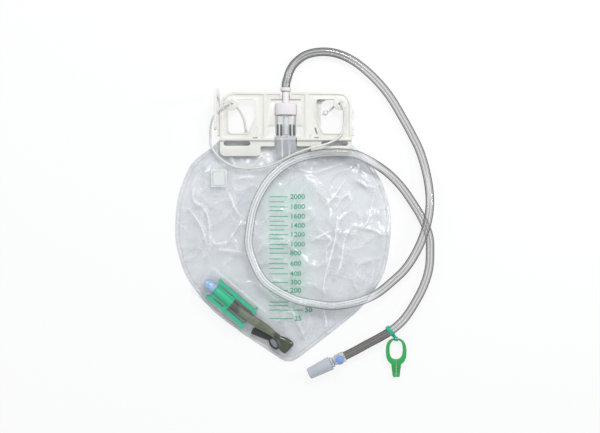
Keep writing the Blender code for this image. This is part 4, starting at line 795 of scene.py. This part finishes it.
TUBE_ROUTE = metres(
    (34, 1667, 78), (35, 1712, 78), (52, 1775, 78), (84, 1872, 70), (150, 1972, 58), (281, 2066, 54),
    (468, 2102, 54), (660, 2076, 54), (864, 1980, 54), (1080, 1800, 54), (1272, 1578, 54), (1440, 1302, 54),
    (1548, 1104, 54), (1640, 912, 58), (1714, 648, 84), (1745, 384, 138), (1734, 168, 166),
    (1680, -60, 168), (1589, -282, 156), (1464, -492, 112), (1296, -660, 84), (1116, -799, 96),
    (924, -882, 108), (690, -930, 120), (560, -936, 124), (404, -916, 128), (175, -870, 132),
    (-55, -763, 136), (-240, -618, 138), (-360, -384, 138), (-408, -192, 138), (-391, 0, 138),
    (-348, 216, 138), (-252, 432, 140), (-132, 600, 140), (48, 751, 142), (252, 835, 146), (480, 876, 146),
    (720, 882, 144), (910, 850, 130), (1120, 740, 100), (1280, 625, 70), (1430, 470, 55), (1556, 290, 54),
    (1665, 110, 54), (1750, -100, 54), (1764, -282, 54), (1752, -492, 54), (1692, -696, 54),
    (1589, -900, 55), (1464, -1088, 60), (1330, -1215, 68), (1176, -1312, 70), (1003, -1404, 74),
    (866, -1478, 80), (738, -1542, 84))

STRING_ROUTE = metres(
    (-446, 1158, 34), (-458, 1226, 22), (-474, 1300, 18), (-505, 1372, 19), (-555, 1440, 26),
    (-600, 1470, 60), (-619, 1478, 96), (-634, 1474, 130), (-672, 1455, 160), (-732, 1415, 168),
    (-790, 1360, 160), (-838, 1285, 124), (-868, 1180, 70), (-872, 1080, 44), (-862, 970, 48),
    (-768, 840, 62), (-625, 740, 70), (-480, 705, 76), (-288, 708, 88), (-90, 760, 118), (80, 838, 160),
    (210, 895, 184), (350, 942, 180), (552, 1000, 140), (682, 1085, 126), (722, 1200, 125),
    (733, 1320, 128), (720, 1415, 150), (698, 1464, 138), (687, 1478, 98), (672, 1475, 60), (630, 1462, 28),
    (600, 1436, 20), (568, 1412, 22), (532, 1386, 34))


# The pouch

POUCH_MIDDLE = Vector((0.0003, -0.018))
POUCH_TOP = 0.108
POUCH_EDGE = metres(
    (-732, 1080), (-852, 965), (-1050, 816), (-1160, 660), (-1264, 372), (-1298, 60), (-1288, -216),
    (-1202, -516), (-1080, -732), (-852, -1002), (-504, -1272), (-192, -1482), (-12, -1600),
    (66, -1620), (156, -1596), (360, -1446), (636, -1230), (936, -978), (1150, -684), (1243, -468),
    (1295, -120), (1293, 168), (1214, 480), (1073, 732), (896, 936), (720, 1080))


@dataclass(frozen=True)
class Crease:
    """A ridge pressed into the film: its course on the bag in millimetres, its height and its width.

    The other fields are the same for all.  They turn height and width into metres, and say how the ridge
    and the painted highlight line on its fold fade along the course and beside it.
    """

    course: tuple
    height: float
    width: float
    lift: float = 0.0013
    reach: float = 0.0036
    sharp: tuple = (0.00045, 0.55)
    broad: tuple = (0.0011, 0.45)
    fading: tuple = (0.12, 0.76, 0.6)
    # The fold's painted highlight line: its width, and the mean, spread and noise scale of its strength.
    line_width: float = 0.0010
    line_tone: tuple = (0.85, 0.5, 70.0)

    def section(self, here: Vector, distance: float, along: float) -> tuple[float, float]:
        """Give the ridge's height at a place, and how much the painted highlight on its fold shows there.

        Args:
            here: the place on the bag.
            distance: how far the course is.
            along: the share of the course at its nearest point.

        Returns:
            The height in metres and the painted highlight's strength.
        """
        start, rest, power = self.fading
        fade = math.sin(math.pi * (start + rest * along)) ** power
        sharp = math.exp(-distance / (self.width * self.sharp[0]))
        broad = math.exp(-(distance / (self.width * self.broad[0])) ** 2)
        mean, spread, scale = self.line_tone
        # The painted highlight line along the fold, stronger and weaker along its length by noise.
        line = fade * math.exp(-(distance / self.line_width) ** 2)
        return (self.height * self.lift * fade * (self.sharp[1] * sharp + self.broad[1] * broad),
                line * (mean + spread * noise.noise(here.to_3d() * scale)))


CREASES = tuple(Crease(*ridge) for ridge in (
    (((-103, 67), (-108, 48), (-107, 32), (-93, 21), (-89, 6), (-87, -14)), 1.7, 3.4),
    (((-114, 22), (-108, 16), (-100, 4), (-95, -8), (-92, -20)), 1.3, 3.0),
    (((-126, 10), (-119, 17), (-113, 22)), 1.2, 3.4),
    (((-92, 48), (-72, 48), (-62, 34), (-58, 24), (-50, 12)), 1.2, 4.0),
    (((-50, 6), (-58, -6), (-69, -21)), 1.6, 3.6),
    (((-82, -20), (-72, -19), (-64, -17)), 1.0, 3.4),
    (((-62, 56), (-48, 60), (-34, 60)), 1.1, 4.0),
    (((-78, -27), (-62, -28), (-46, -32)), 1.2, 3.2),
    (((-70, 92), (-62, 84), (-58, 72), (-66, 62)), 1.0, 4.0),
    (((51, 26), (62, 38), (73, 54)), 1.3, 3.4),
    (((42, -2), (50, -8), (58, -16), (52, -26), (53, -43)), 1.3, 2.8),
    (((83, 2), (74, -14), (70, -40), (64, -60)), 1.7, 4.2),
    (((113, 48), (107, 28), (100, 4), (84, 2)), 1.4, 3.0),
    (((86, 2), (100, -1), (112, -4), (129, -13)), 1.3, 4.4),
    (((87, 58), (100, 50), (113, 48)), 1.0, 3.2),
    (((64, 24), (76, 40), (82, 32), (72, 22)), 1.1, 2.8),
    (((-28, -64), (-14, -82), (14, -104)), 1.3, 4.0),
    (((8, -92), (20, -120), (31, -143)), 1.3, 3.0),
    (((48, -96), (52, -120), (41, -140)), 1.2, 3.0),
    (((110, -42), (106, -66), (92, -88)), 1.3, 3.4),
    (((34, -16), (46, -10), (58, -4)), 1.0, 3.4),
    (((66, 20), (62, -16), (50, -62), (49, -84)), 1.8, 4.6),
    (((20, 70), (34, 66), (52, 70), (68, 76)), 1.0, 4.0),
    (((88, 76), (100, 62), (104, 50)), 1.0, 3.6),
))


@dataclass
class Pouch:
    """The two welded films and the relief of the front one."""

    film: float = 0.0005
    gap: float = 0.0003
    crown: float = 0.006
    wall: float = 0.0003
    weld_share: float = 0.035
    seam: tuple = (0.968, 0.990)
    seam_height: float = 0.0003
    seam_shows: float = 0.45
    outline_steps: int = 12
    crease_steps: int = 8
    tube_steps: int = 12
    string_steps: int = 10
    sides: int = 420
    rim_rings: int = 12
    inner_rings: int = 86
    rim_share: float = 0.06
    inner_share: float = 0.94
    centre_share: float = 0.004
    sink: float = -0.0016
    swell: tuple = (26.0, 0.0009)
    ridges: tuple = (34.0, 0.0013, Vector((7.1, 3.3, 0.0)))
    ridge_power: int = 4
    grain: tuple = (95.0, 0.0002, Vector((1.7, 9.2, 0.0)))
    puckers: tuple = (46.0, 0.0003, 18.0, 4.0)
    pucker_span: tuple = (0.70, 0.92)
    loose_from: float = 0.88
    # How strongly the noise ridges get a painted highlight.
    ridge_shows: float = 0.35
    cord_reach: float = 0.0062
    cord_side: float = 0.001
    cord_gap: float = 0.0002
    mouth_half_width: float = 0.0125
    mouth_side: tuple = (0.0008, 0.0002)
    mouth_end: float = 0.083
    mouth_lead: float = 0.006
    mouth_open: float = 0.0121
    mouth_shut: float = 0.0080
    # Two painted highlight lines beside the valve sleeve: how far out, how wide and how strong.
    mouth_line: tuple = (0.0042, 0.0009, 0.65)
    calm_spots: tuple = ((-0.0768, 0.0582, 0.019), (-0.068, -0.090, 0.032), (-0.045, -0.108, 0.030),
                         (-0.086, -0.070, 0.030), (-0.024, -0.128, 0.020), (0.003, -0.143, 0.016))
    calm_edge: tuple = (0.75, 1.25)
    plate_foot: float = 0.0825
    probe_from: float = 0.1
    outline: list[Vector] = field(default_factory=list)
    creases: list[tuple] = field(default_factory=list)
    cords: KDTree | None = None
    lying: list[tuple] = field(default_factory=list)
    tree: BVHTree | None = None

    def __post_init__(self) -> None:
        """Read the outline evenly, the creases' courses and the cords that lie on the film."""
        edge = through(POUCH_EDGE, self.outline_steps) + [Vector((0.0, POUCH_TOP))]
        self.outline = self._evenly(edge)
        for crease in CREASES:
            course = through([(x * MM, y * MM) for x, y in crease.course], self.crease_steps)
            reach = crease.width * crease.reach
            box = [(min(spot[axis] for spot in course) - reach, max(spot[axis] for spot in course) + reach)
                   for axis in (0, 1)]
            self.creases.append((crease, course, box))
        for route, steps, diameter in ((TUBE_ROUTE, self.tube_steps, TUBE_DIAMETER),
                                       (STRING_ROUTE, self.string_steps, STRING_DIAMETER)):
            self.lying += [(spot, diameter / 2.0) for spot in through(route[1:-1], steps)]
        self.cords = KDTree(len(self.lying))
        for index, (spot, _) in enumerate(self.lying):
            self.cords.insert(spot.xy.to_3d(), index)
        self.cords.balance()

    @property
    def flat(self) -> float:
        """Give the height of the two films where they lie flat."""
        return 2.0 * self.film + self.gap

    def _evenly(self, edge: list[Vector]) -> list[Vector]:
        """Read the outline at even steps of length, closed across its top.

        Args:
            edge: points along the pouch's edge, counter-clockwise.

        Returns:
            As many points as a ring of the film has, the first one due left of the middle.
        """
        points = edge + [edge[0]]
        lengths = [0.0]
        for a, b in zip(points, points[1:]):
            lengths.append(lengths[-1] + (b - a).length)
        found, index = [], 0
        for side in range(self.sides):
            target = lengths[-1] * side / self.sides
            while lengths[index + 1] < target:
                index += 1
            share = (target - lengths[index]) / max(lengths[index + 1] - lengths[index], 1e-9)
            found.append(points[index].lerp(points[index + 1], share))
        turns = [abs(math.atan2(*(spot - POUCH_MIDDLE).yx) + math.pi) for spot in found]
        first = turns.index(min(turns))
        return found[first:] + found[:first]

    def crown_at(self, share: float) -> float:
        """Give the smooth pillow's height at a share of the way out."""
        inside = 1.0 - (share / (1.0 - self.weld_share)) ** 2
        return self.flat + self.crown * math.sqrt(max(inside, 0.0))

    def calm(self, x: float, y: float) -> float:
        """Say how freely the film may move at a place.

        Args:
            x: the place across the bag.
            y: the place along the bag.

        Returns:
            0 under what lies on the film, 1 elsewhere.
        """
        free, (near, far) = 1.0, self.calm_edge
        for spot_x, spot_y, radius in self.calm_spots:
            distance = math.hypot(x - spot_x, y - spot_y)
            free = min(free, smooth_step(radius * near, radius * far, distance))
        return free

    def crease_at(self, x: float, y: float) -> tuple[float, float]:
        """Read the creases at a place.

        Args:
            x: the place across the bag.
            y: the place along the bag.

        Returns:
            Their height, and how much a painted fold highlight shows there.
        """
        height, line = 0.0, 0.0
        here = Vector((x, y))
        for crease, course, ((left, right), (low, high)) in self.creases:
            if not (left < x < right and low < y < high):
                continue
            distance, index = min((self._to_segment(here, a, b), i)
                                  for i, (a, b) in enumerate(zip(course, course[1:])))
            rise, shown = crease.section(here, distance, index / max(len(course) - 2, 1))
            height, line = max(height, rise), max(line, shown)
        return height, line

    @staticmethod
    def _to_segment(point: Vector, a: Vector, b: Vector) -> float:
        """Measure from a point to a segment.

        Args:
            point: the point.
            a: the segment's start.
            b: its end.

        Returns:
            The distance.
        """
        run = b - a
        share = min(max((point - a).dot(run) / max(run.length_squared, 1e-12), 0.0), 1.0)
        return (point - (a + run * share)).length

    def relief(self, x: float, y: float, share: float) -> tuple[float, float]:
        """Work out what waves, creases and puckers add to the smooth pillow.

        Args:
            x: the place across the bag.
            y: the place along the bag.
            share: how far out the place is, 1 at the pouch's edge.

        Returns:
            The added height, and how much a painted fold highlight shows there.
        """
        loose = smooth_step(1.0 - self.weld_share, self.loose_from, share) * self.calm(x, y)
        if loose <= 0.0:
            return 0.0, 0.0
        spot = Vector((x, y, 0.0))
        broad = noise.noise(spot * self.swell[0])
        folded = 1.0 - abs(noise.noise(spot * self.ridges[0] + self.ridges[2])) * 2.0
        fine = noise.noise(spot * self.grain[0] + self.grain[2])
        angle = math.atan2(y - POUCH_MIDDLE.y, x - POUCH_MIDDLE.x)
        count, pucker_height, sway_scale, sway = self.puckers
        pucker = math.sin(angle * count + sway * noise.noise(spot * sway_scale))
        pucker *= smooth_step(*self.pucker_span, share)
        ridge = max(folded, 0.0) ** self.ridge_power
        waves = (self.sink + self.swell[1] * broad + self.ridges[1] * ridge + self.grain[1] * fine
                 + pucker_height * pucker)
        height, line = self.crease_at(x, y)
        rise = loose * (waves + height)
        # Noise ridges and creases add painted highlight to the fold attribute.
        shown = loose * min(line + self.ridge_shows * ridge * ridge, 1.0)
        return (min(rise, 0.0) if y > self.plate_foot else rise), shown

    def under_cords(self, x: float, y: float) -> float:
        """Read the room under the tube and the string.

        Args:
            x: the place across the bag.
            y: the place along the bag.

        Returns:
            The height that they leave free.
        """
        room = 1.0
        for _, index, apart in self.cords.find_range((x, y, 0.0), self.cord_reach):
            spot, radius = self.lying[index]
            if apart < radius + self.cord_side:
                below = math.sqrt(max(radius * radius - apart * apart, 0.0))
                room = min(room, spot.z - below - self.cord_gap)
        return room

    def mouth_at(self, x: float, y: float) -> float:
        """Work out how high the film passes over the valve sleeve.

        Args:
            x: the place across the bag.
            y: the place along the bag.

        Returns:
            The height that it needs there, 0 away from the sleeve.
        """
        share = min(max((POUCH_TOP - y) / (POUCH_TOP - self.mouth_end), 0.0), 1.0)
        height = self.mouth_open + (self.mouth_shut - self.mouth_open) * share
        outer, inner = self.mouth_half_width + self.mouth_side[0], self.mouth_half_width - self.mouth_side[1]
        beside = smooth_step(outer, inner, abs(x - AXIS_X))
        below = smooth_step(self.mouth_end - self.mouth_lead, self.mouth_end, y)
        return height * beside * below

    def height(self, x: float, y: float, share: float) -> tuple[float, float]:
        """Work out the front film's outer face at a place.

        Args:
            x: the place across the bag.
            y: the place along the bag.
            share: how far out the place is, 1 at the pouch's edge.

        Returns:
            Its height, and how much a painted fold highlight or the weld shows there.
        """
        crown = self.crown_at(share)
        welded = self.seam[0] < share < self.seam[1]
        rise, line = self.relief(x, y, share)
        free = crown + rise + (self.seam_height if welded else 0.0)
        if rise > 0.0:
            free = max(min(free, self.under_cords(x, y)), min(free, crown))
        mouth = self.mouth_at(x, y)
        if mouth > free:
            # Two painted highlight lines run down the film beside the valve sleeve.
            beside, width, shown = self.mouth_line
            line = shown * math.exp(-((abs(x - AXIS_X) - beside) / width) ** 2)
        return max(free, mouth, self.flat), max(line, self.seam_shows if welded else 0.0)

    def top(self, x: float, y: float) -> float:
        """Give the front film's height at a place, as its mesh has it."""
        hit = self.tree.ray_cast(Vector((x, y, self.probe_from)), Vector((0.0, 0.0, -1.0)))
        return hit[0].z if hit[0] is not None else self.flat

    def build_front(self, dresser: Dresser) -> bpy.types.Object:
        """Build the wrinkled front film ring by ring, from a circle that is drawn in.

        Args:
            dresser: gives the material and the frame.

        Returns:
            The front film.
        """
        bm = bmesh.new()
        # The fold layer carries the painted fold highlights and the weld's band to the film's material.
        fold = bm.verts.layers.float.new("fold")
        circle = bmesh.ops.create_circle(bm, cap_ends=False, segments=self.sides, radius=1.0)
        ring = sorted(circle["verts"], key=lambda vert: math.atan2(vert.co.y, vert.co.x))
        shares = [1.0 - self.rim_share * i / self.rim_rings for i in range(self.rim_rings + 1)]
        shares += [self.inner_share * (1.0 - i / self.inner_rings) + self.centre_share
                   for i in range(1, self.inner_rings + 1)]
        edges = list({edge for vert in ring for edge in vert.link_edges})
        for share in shares:
            if share < 1.0:
                grown = bmesh.ops.extrude_edge_only(bm, edges=edges)["geom"]
                fresh = {item for item in grown if isinstance(item, bmesh.types.BMVert)}
                edges = [item for item in grown
                         if isinstance(item, bmesh.types.BMEdge) and set(item.verts) <= fresh]
                ring = [next(edge.other_vert(vert) for edge in vert.link_edges
                             if edge.other_vert(vert) in fresh) for vert in ring]
            for vert, spot in zip(ring, self.outline):
                place = POUCH_MIDDLE + (spot - POUCH_MIDDLE) * share
                level, vert[fold] = self.height(place.x, place.y, share)
                vert.co = (place.x, place.y, level)
        bmesh.ops.contextual_create(bm, geom=ring)
        bmesh.ops.recalc_face_normals(bm, faces=bm.faces)
        if sum(face.normal.z for face in bm.faces) < 0.0:
            bmesh.ops.reverse_faces(bm, faces=bm.faces)
        self.tree = BVHTree.FromBMesh(bm)
        piece = new_piece("front_film_sheet", bm)
        wall = piece.modifiers.new("film", 'SOLIDIFY')
        wall.thickness = self.wall
        wall.offset = -1.0
        dresser.dress(piece, Look.FRONT_FILM)
        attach(piece, "root")
        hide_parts("front_film")
        log.info("built %s", piece.name)
        return piece


# The print

@dataclass
class VolumeScale:
    """The printed volume marks and their plain numbers; their levels are in millimetres."""

    left: float = -0.0162
    long_end: float = 0.0060
    short_end: float = 0.0012
    line: float = 0.0008
    cells: int = 24
    lift: float = 0.0003
    text_left: float = 0.0085
    text_gap: float = 0.0022
    text_size: float = 0.0080
    text_stretch: float = 1.12
    text_weight: float = 0.00010
    text_edge: float = 0.0008
    text_cuts: int = 3
    text_resolution: int = 3
    labels: tuple = ((2000, 36.2), (1800, 24.2), (1600, 12.7), (1400, 1.6), (1200, -9.1), (1000, -20.9),
                     (800, -31.4), (600, -44.0), (400, -56.2), (300, -66.5), (200, -76.3))
    plain_long: tuple = (-90.0, -94.2)
    short: tuple = (30.2, 19.6, 7.0, -3.6, -14.2, -25.9, -38.2, -49.7)
    lowest: tuple = ((50, -99.6, 0.0240), (25, -109.9, 0.0114))

    def build(self, pouch: Pouch, dresser: Dresser) -> None:
        """Build the marks as one piece and the numbers as another.

        Args:
            pouch: gives the film's height.
            dresser: gives the material.
        """
        rows = [(level, self.long_end) for _, level in self.labels]
        rows += [(level, self.long_end) for level in self.plain_long]
        rows += [(level, self.short_end) for level in self.short]
        rows += [(level, end) for _, level, end in self.lowest]
        bm = bmesh.new()
        for level, end in rows:
            grid = bmesh.ops.create_grid(bm, x_segments=self.cells, y_segments=1, size=0.5)
            centre = Vector(((self.left + end) / 2.0, level * MM, 0.0))
            place = Matrix.Translation(centre) @ Matrix.Diagonal((end - self.left, self.line, 1.0, 1.0))
            bmesh.ops.transform(bm, matrix=place, verts=grid["verts"])
        self._print("volume_marks", bm, pouch, dresser)
        bm = bmesh.new()
        for value, level in self.labels:
            self._write(bm, value, self.text_left, level)
        for value, level, end in self.lowest:
            self._write(bm, value, end + self.text_gap, level)
        bmesh.ops.triangulate(bm, faces=bm.faces)
        for _ in range(self.text_cuts):
            long_edges = [edge for edge in bm.edges if edge.calc_length() > self.text_edge]
            bmesh.ops.subdivide_edges(bm, edges=long_edges, cuts=1)
            bmesh.ops.triangulate(bm, faces=bm.faces)
        self._print("volume_numbers", bm, pouch, dresser)

    def _print(self, name: str, bm: bmesh.types.BMesh, pouch: Pouch, dresser: Dresser) -> None:
        """Lay flat print on the film and give it its ink.

        Args:
            name: the piece's name.
            bm: the print's faces, flat.
            pouch: gives the film's height.
            dresser: gives the material.
        """
        for vert in bm.verts:
            vert.co.z = pouch.top(vert.co.x, vert.co.y) + self.lift
        piece = new_piece(name, bm)
        dresser.dress(piece, Look.PRINT)
        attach(piece, "root")
        log.info("printed %s", name)

    def _write(self, bm: bmesh.types.BMesh, value: int, left: float, level: float) -> None:
        """Add a number's flat faces.

        Args:
            bm: receives the faces.
            value: the number.
            left: its left end.
            level: the height of its middle on the bag, in millimetres.
        """
        text = bpy.data.curves.new("digits", 'FONT')
        text.body = str(value)
        text.size = self.text_size
        text.align_y = 'CENTER'
        text.resolution_u = self.text_resolution
        text.offset = self.text_weight
        writer = placed("digits", text)
        bpy.context.view_layer.update()
        mesh = bpy.data.meshes.new_from_object(writer)
        stretch = Matrix.Diagonal((self.text_stretch, 1.0, 1.0, 1.0))
        mesh.transform(Matrix.Translation((left, level * MM, 0.0)) @ stretch)
        bm.from_mesh(mesh)
        bpy.data.objects.remove(writer, do_unlink=True)


# The scene

@dataclass
class Studio:
    """A plain pale floor, soft light and the camera, straight above."""

    frame_width: int = 600
    metres_per_pixel: float = 0.0012
    camera_height: float = 0.90
    focus_height: float = 0.005
    clip_start: float = 0.01
    centre: tuple = (0.0204, 0.0126)
    sky: tuple = (0.93, 0.96, 1.0, 1.0)
    sky_strength: float = 0.50
    floor_colour: tuple = (0.90, 0.90, 0.90, 1.0)
    floor_glow: float = 0.84
    floor_half: float = 4.0
    floor_drop: float = 0.0002
    boxes: tuple = (("key", (0.25, 0.70, 0.85), 0.30, 5.6), ("side", (0.80, 0.25, 0.55), 0.16, 2.2),
                    ("fill", (-0.70, -0.35, 0.80), 0.35, 1.2), ("rim", (-0.55, 0.65, 0.50), 0.12, 1.0))

    def build(self) -> None:
        """Build the camera, world, lamps and floor."""
        self._camera()
        self._world()
        self._lamps()
        self._floor()

    def _camera(self) -> None:
        """Look straight down on the bag."""
        data = bpy.data.cameras.new("photo_camera")
        data.sensor_fit = 'HORIZONTAL'
        width = self.frame_width * self.metres_per_pixel
        data.angle = 2.0 * math.atan(width / 2.0 / (self.camera_height - self.focus_height))
        data.clip_start = self.clip_start
        camera = placed("photo_camera", data)
        camera.location = (*self.centre, self.camera_height)
        bpy.context.scene.camera = camera

    def _lamps(self) -> None:
        """Hang a key box beyond the hanger and three smaller boxes, which draw the film's folds."""
        for name, place, size, power in self.boxes:
            data = bpy.data.lights.new(name, 'AREA')
            data.shape = 'SQUARE'
            data.size = size
            data.energy = power
            lamp = placed(name, data)
            lamp.location = place
            lamp.rotation_euler = Vector(place).to_track_quat('Z', 'Y').to_euler()

    @staticmethod
    def _seen_directly(plan: NodePlan) -> Socket:
        """Tell direct sight from other light.

        Args:
            plan: the tree that it goes into.

        Returns:
            1 for the sight of the camera, of gloss and of clear walls, and 0 for other light.
        """
        path = plan.add('ShaderNodeLightPath').outputs
        found = path["Is Camera Ray"]
        for kind in ("Is Glossy Ray", "Is Transmission Ray"):
            found = plan.calc('MAXIMUM', found, path[kind])
        return found

    def _world(self) -> None:
        """Light from all round, with a white sight for the camera, gloss and clear walls."""
        world = bpy.data.worlds.new("studio")
        bpy.context.scene.world = world
        world.use_nodes = True
        plan = NodePlan(world.node_tree)
        light = plan.tree.nodes["Background"]
        plan.feed(light, {"Color": self.sky, "Strength": self.sky_strength})
        white = plan.add('ShaderNodeBackground', {"Color": WHITE, "Strength": 1.0})
        both = plan.add('ShaderNodeMixShader',
                        {"Fac": self._seen_directly(plan), 1: light.outputs[0], 2: white.outputs[0]})
        plan.feed(plan.tree.nodes["World Output"], {"Surface": both.outputs[0]})

    def _floor(self) -> None:
        """Lay the floor, white to the camera and shadowed by the bag."""
        bm = bmesh.new()
        bmesh.ops.create_grid(bm, x_segments=1, y_segments=1, size=self.floor_half)
        floor = new_piece("floor", bm, smooth=False)
        floor.location.z = -self.floor_drop
        plan = MaterialPlan("white_paper", {"Base Color": self.floor_colour, "Roughness": 0.9,
                                            "Specular IOR Level": 0.0})
        share = plan.calc('MULTIPLY', self._seen_directly(plan), self.floor_glow)
        glow = plan.add('ShaderNodeEmission')
        both = plan.add('ShaderNodeMixShader',
                        {"Fac": share, 1: plan.shader.outputs[0], 2: glow.outputs[0]})
        plan.feed(plan.tree.nodes["Material Output"], {"Surface": both.outputs[0]})
        floor.data.materials.append(plan.material)
        floor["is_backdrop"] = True


# Each node of the frame that stays, with its finish and the width of its rounded edges.
NODE_LOOKS = (
    ("back_film", Look.BACK_FILM, 0.0), ("air_vent_frame", Look.VENT_FRAME, 0.0002),
    ("air_vent_filter", Look.FILTER, 0.0), ("hanger_plate", Look.IVORY, 0.00035),
    ("left_hook", Look.IVORY, 0.0004), ("right_hook", Look.IVORY, 0.0004),
    ("inlet_connector", Look.FROSTED, 0.0002), ("chamber_cap", Look.FROSTED, 0.0002),
    ("chamber_body", Look.CHAMBER, 0.0), ("drip_tube", Look.DRIP_TUBE, 0.0),
    ("anti_reflux_valve", Look.SLEEVE, 0.0), ("outlet_holder", Look.GREEN, 0.00025),
    ("outlet_nozzle", Look.NOZZLE, 0.0002), ("outlet_tube", Look.OLIVE, 0.0),
    ("outlet_port", Look.PORT, 0.0004), ("outlet_strap", Look.BLACK, 0.0003),
    ("outlet_pocket", Look.POCKET, 0.0), ("left_string_knot", Look.STRING, 0.0),
    ("right_string_knot", Look.STRING, 0.0), ("sampling_port", Look.PORT_CLEAR, 0.0002),
    ("sampling_septum", Look.SEPTUM, 0.0002), ("catheter_connector", Look.PORT_CLEAR, 0.0),
    ("connector_cap", Look.CAP, 0.0003), ("clip_strap", Look.TEAL, 0.0001),
    ("sheet_clip", Look.CLIP, 0.0003),
)


def main() -> tuple:
    """Build the scene around the frame.

    Returns:
        The frame's box before anything was added.
    """
    logging.basicConfig(level=logging.INFO, format="%(name)s: %(message)s")
    for item in list(bpy.data.objects):
        bpy.data.objects.remove(item, do_unlink=True)
    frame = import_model()
    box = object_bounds()
    bpy.context.scene.view_settings.view_transform = 'Standard'
    Studio().build()
    dresser = Dresser(frame)
    FreeCord("tube", "drainage_tube", TUBE_ROUTE, TUBE_DIAMETER, Look.TUBE, "connector", "medium",
             ("sampling_port", "sampling_septum", "catheter_connector", "connector_cap", "clip_strap",
              "sheet_clip"), "clear_tube").build(dresser)
    FreeCord("string", "hanging_string", STRING_ROUTE, STRING_DIAMETER, Look.STRING, "knot", "limp",
             ("left_string_knot", "right_string_knot"), "string").build(dresser)
    pouch = Pouch()
    pouch.build_front(dresser)
    VolumeScale().build(pouch, dresser)
    for name, look, edge in NODE_LOOKS:
        dresser.dress_node(name, look, edge)
    return box


if __name__ == "__main__":
    frame_box = main()
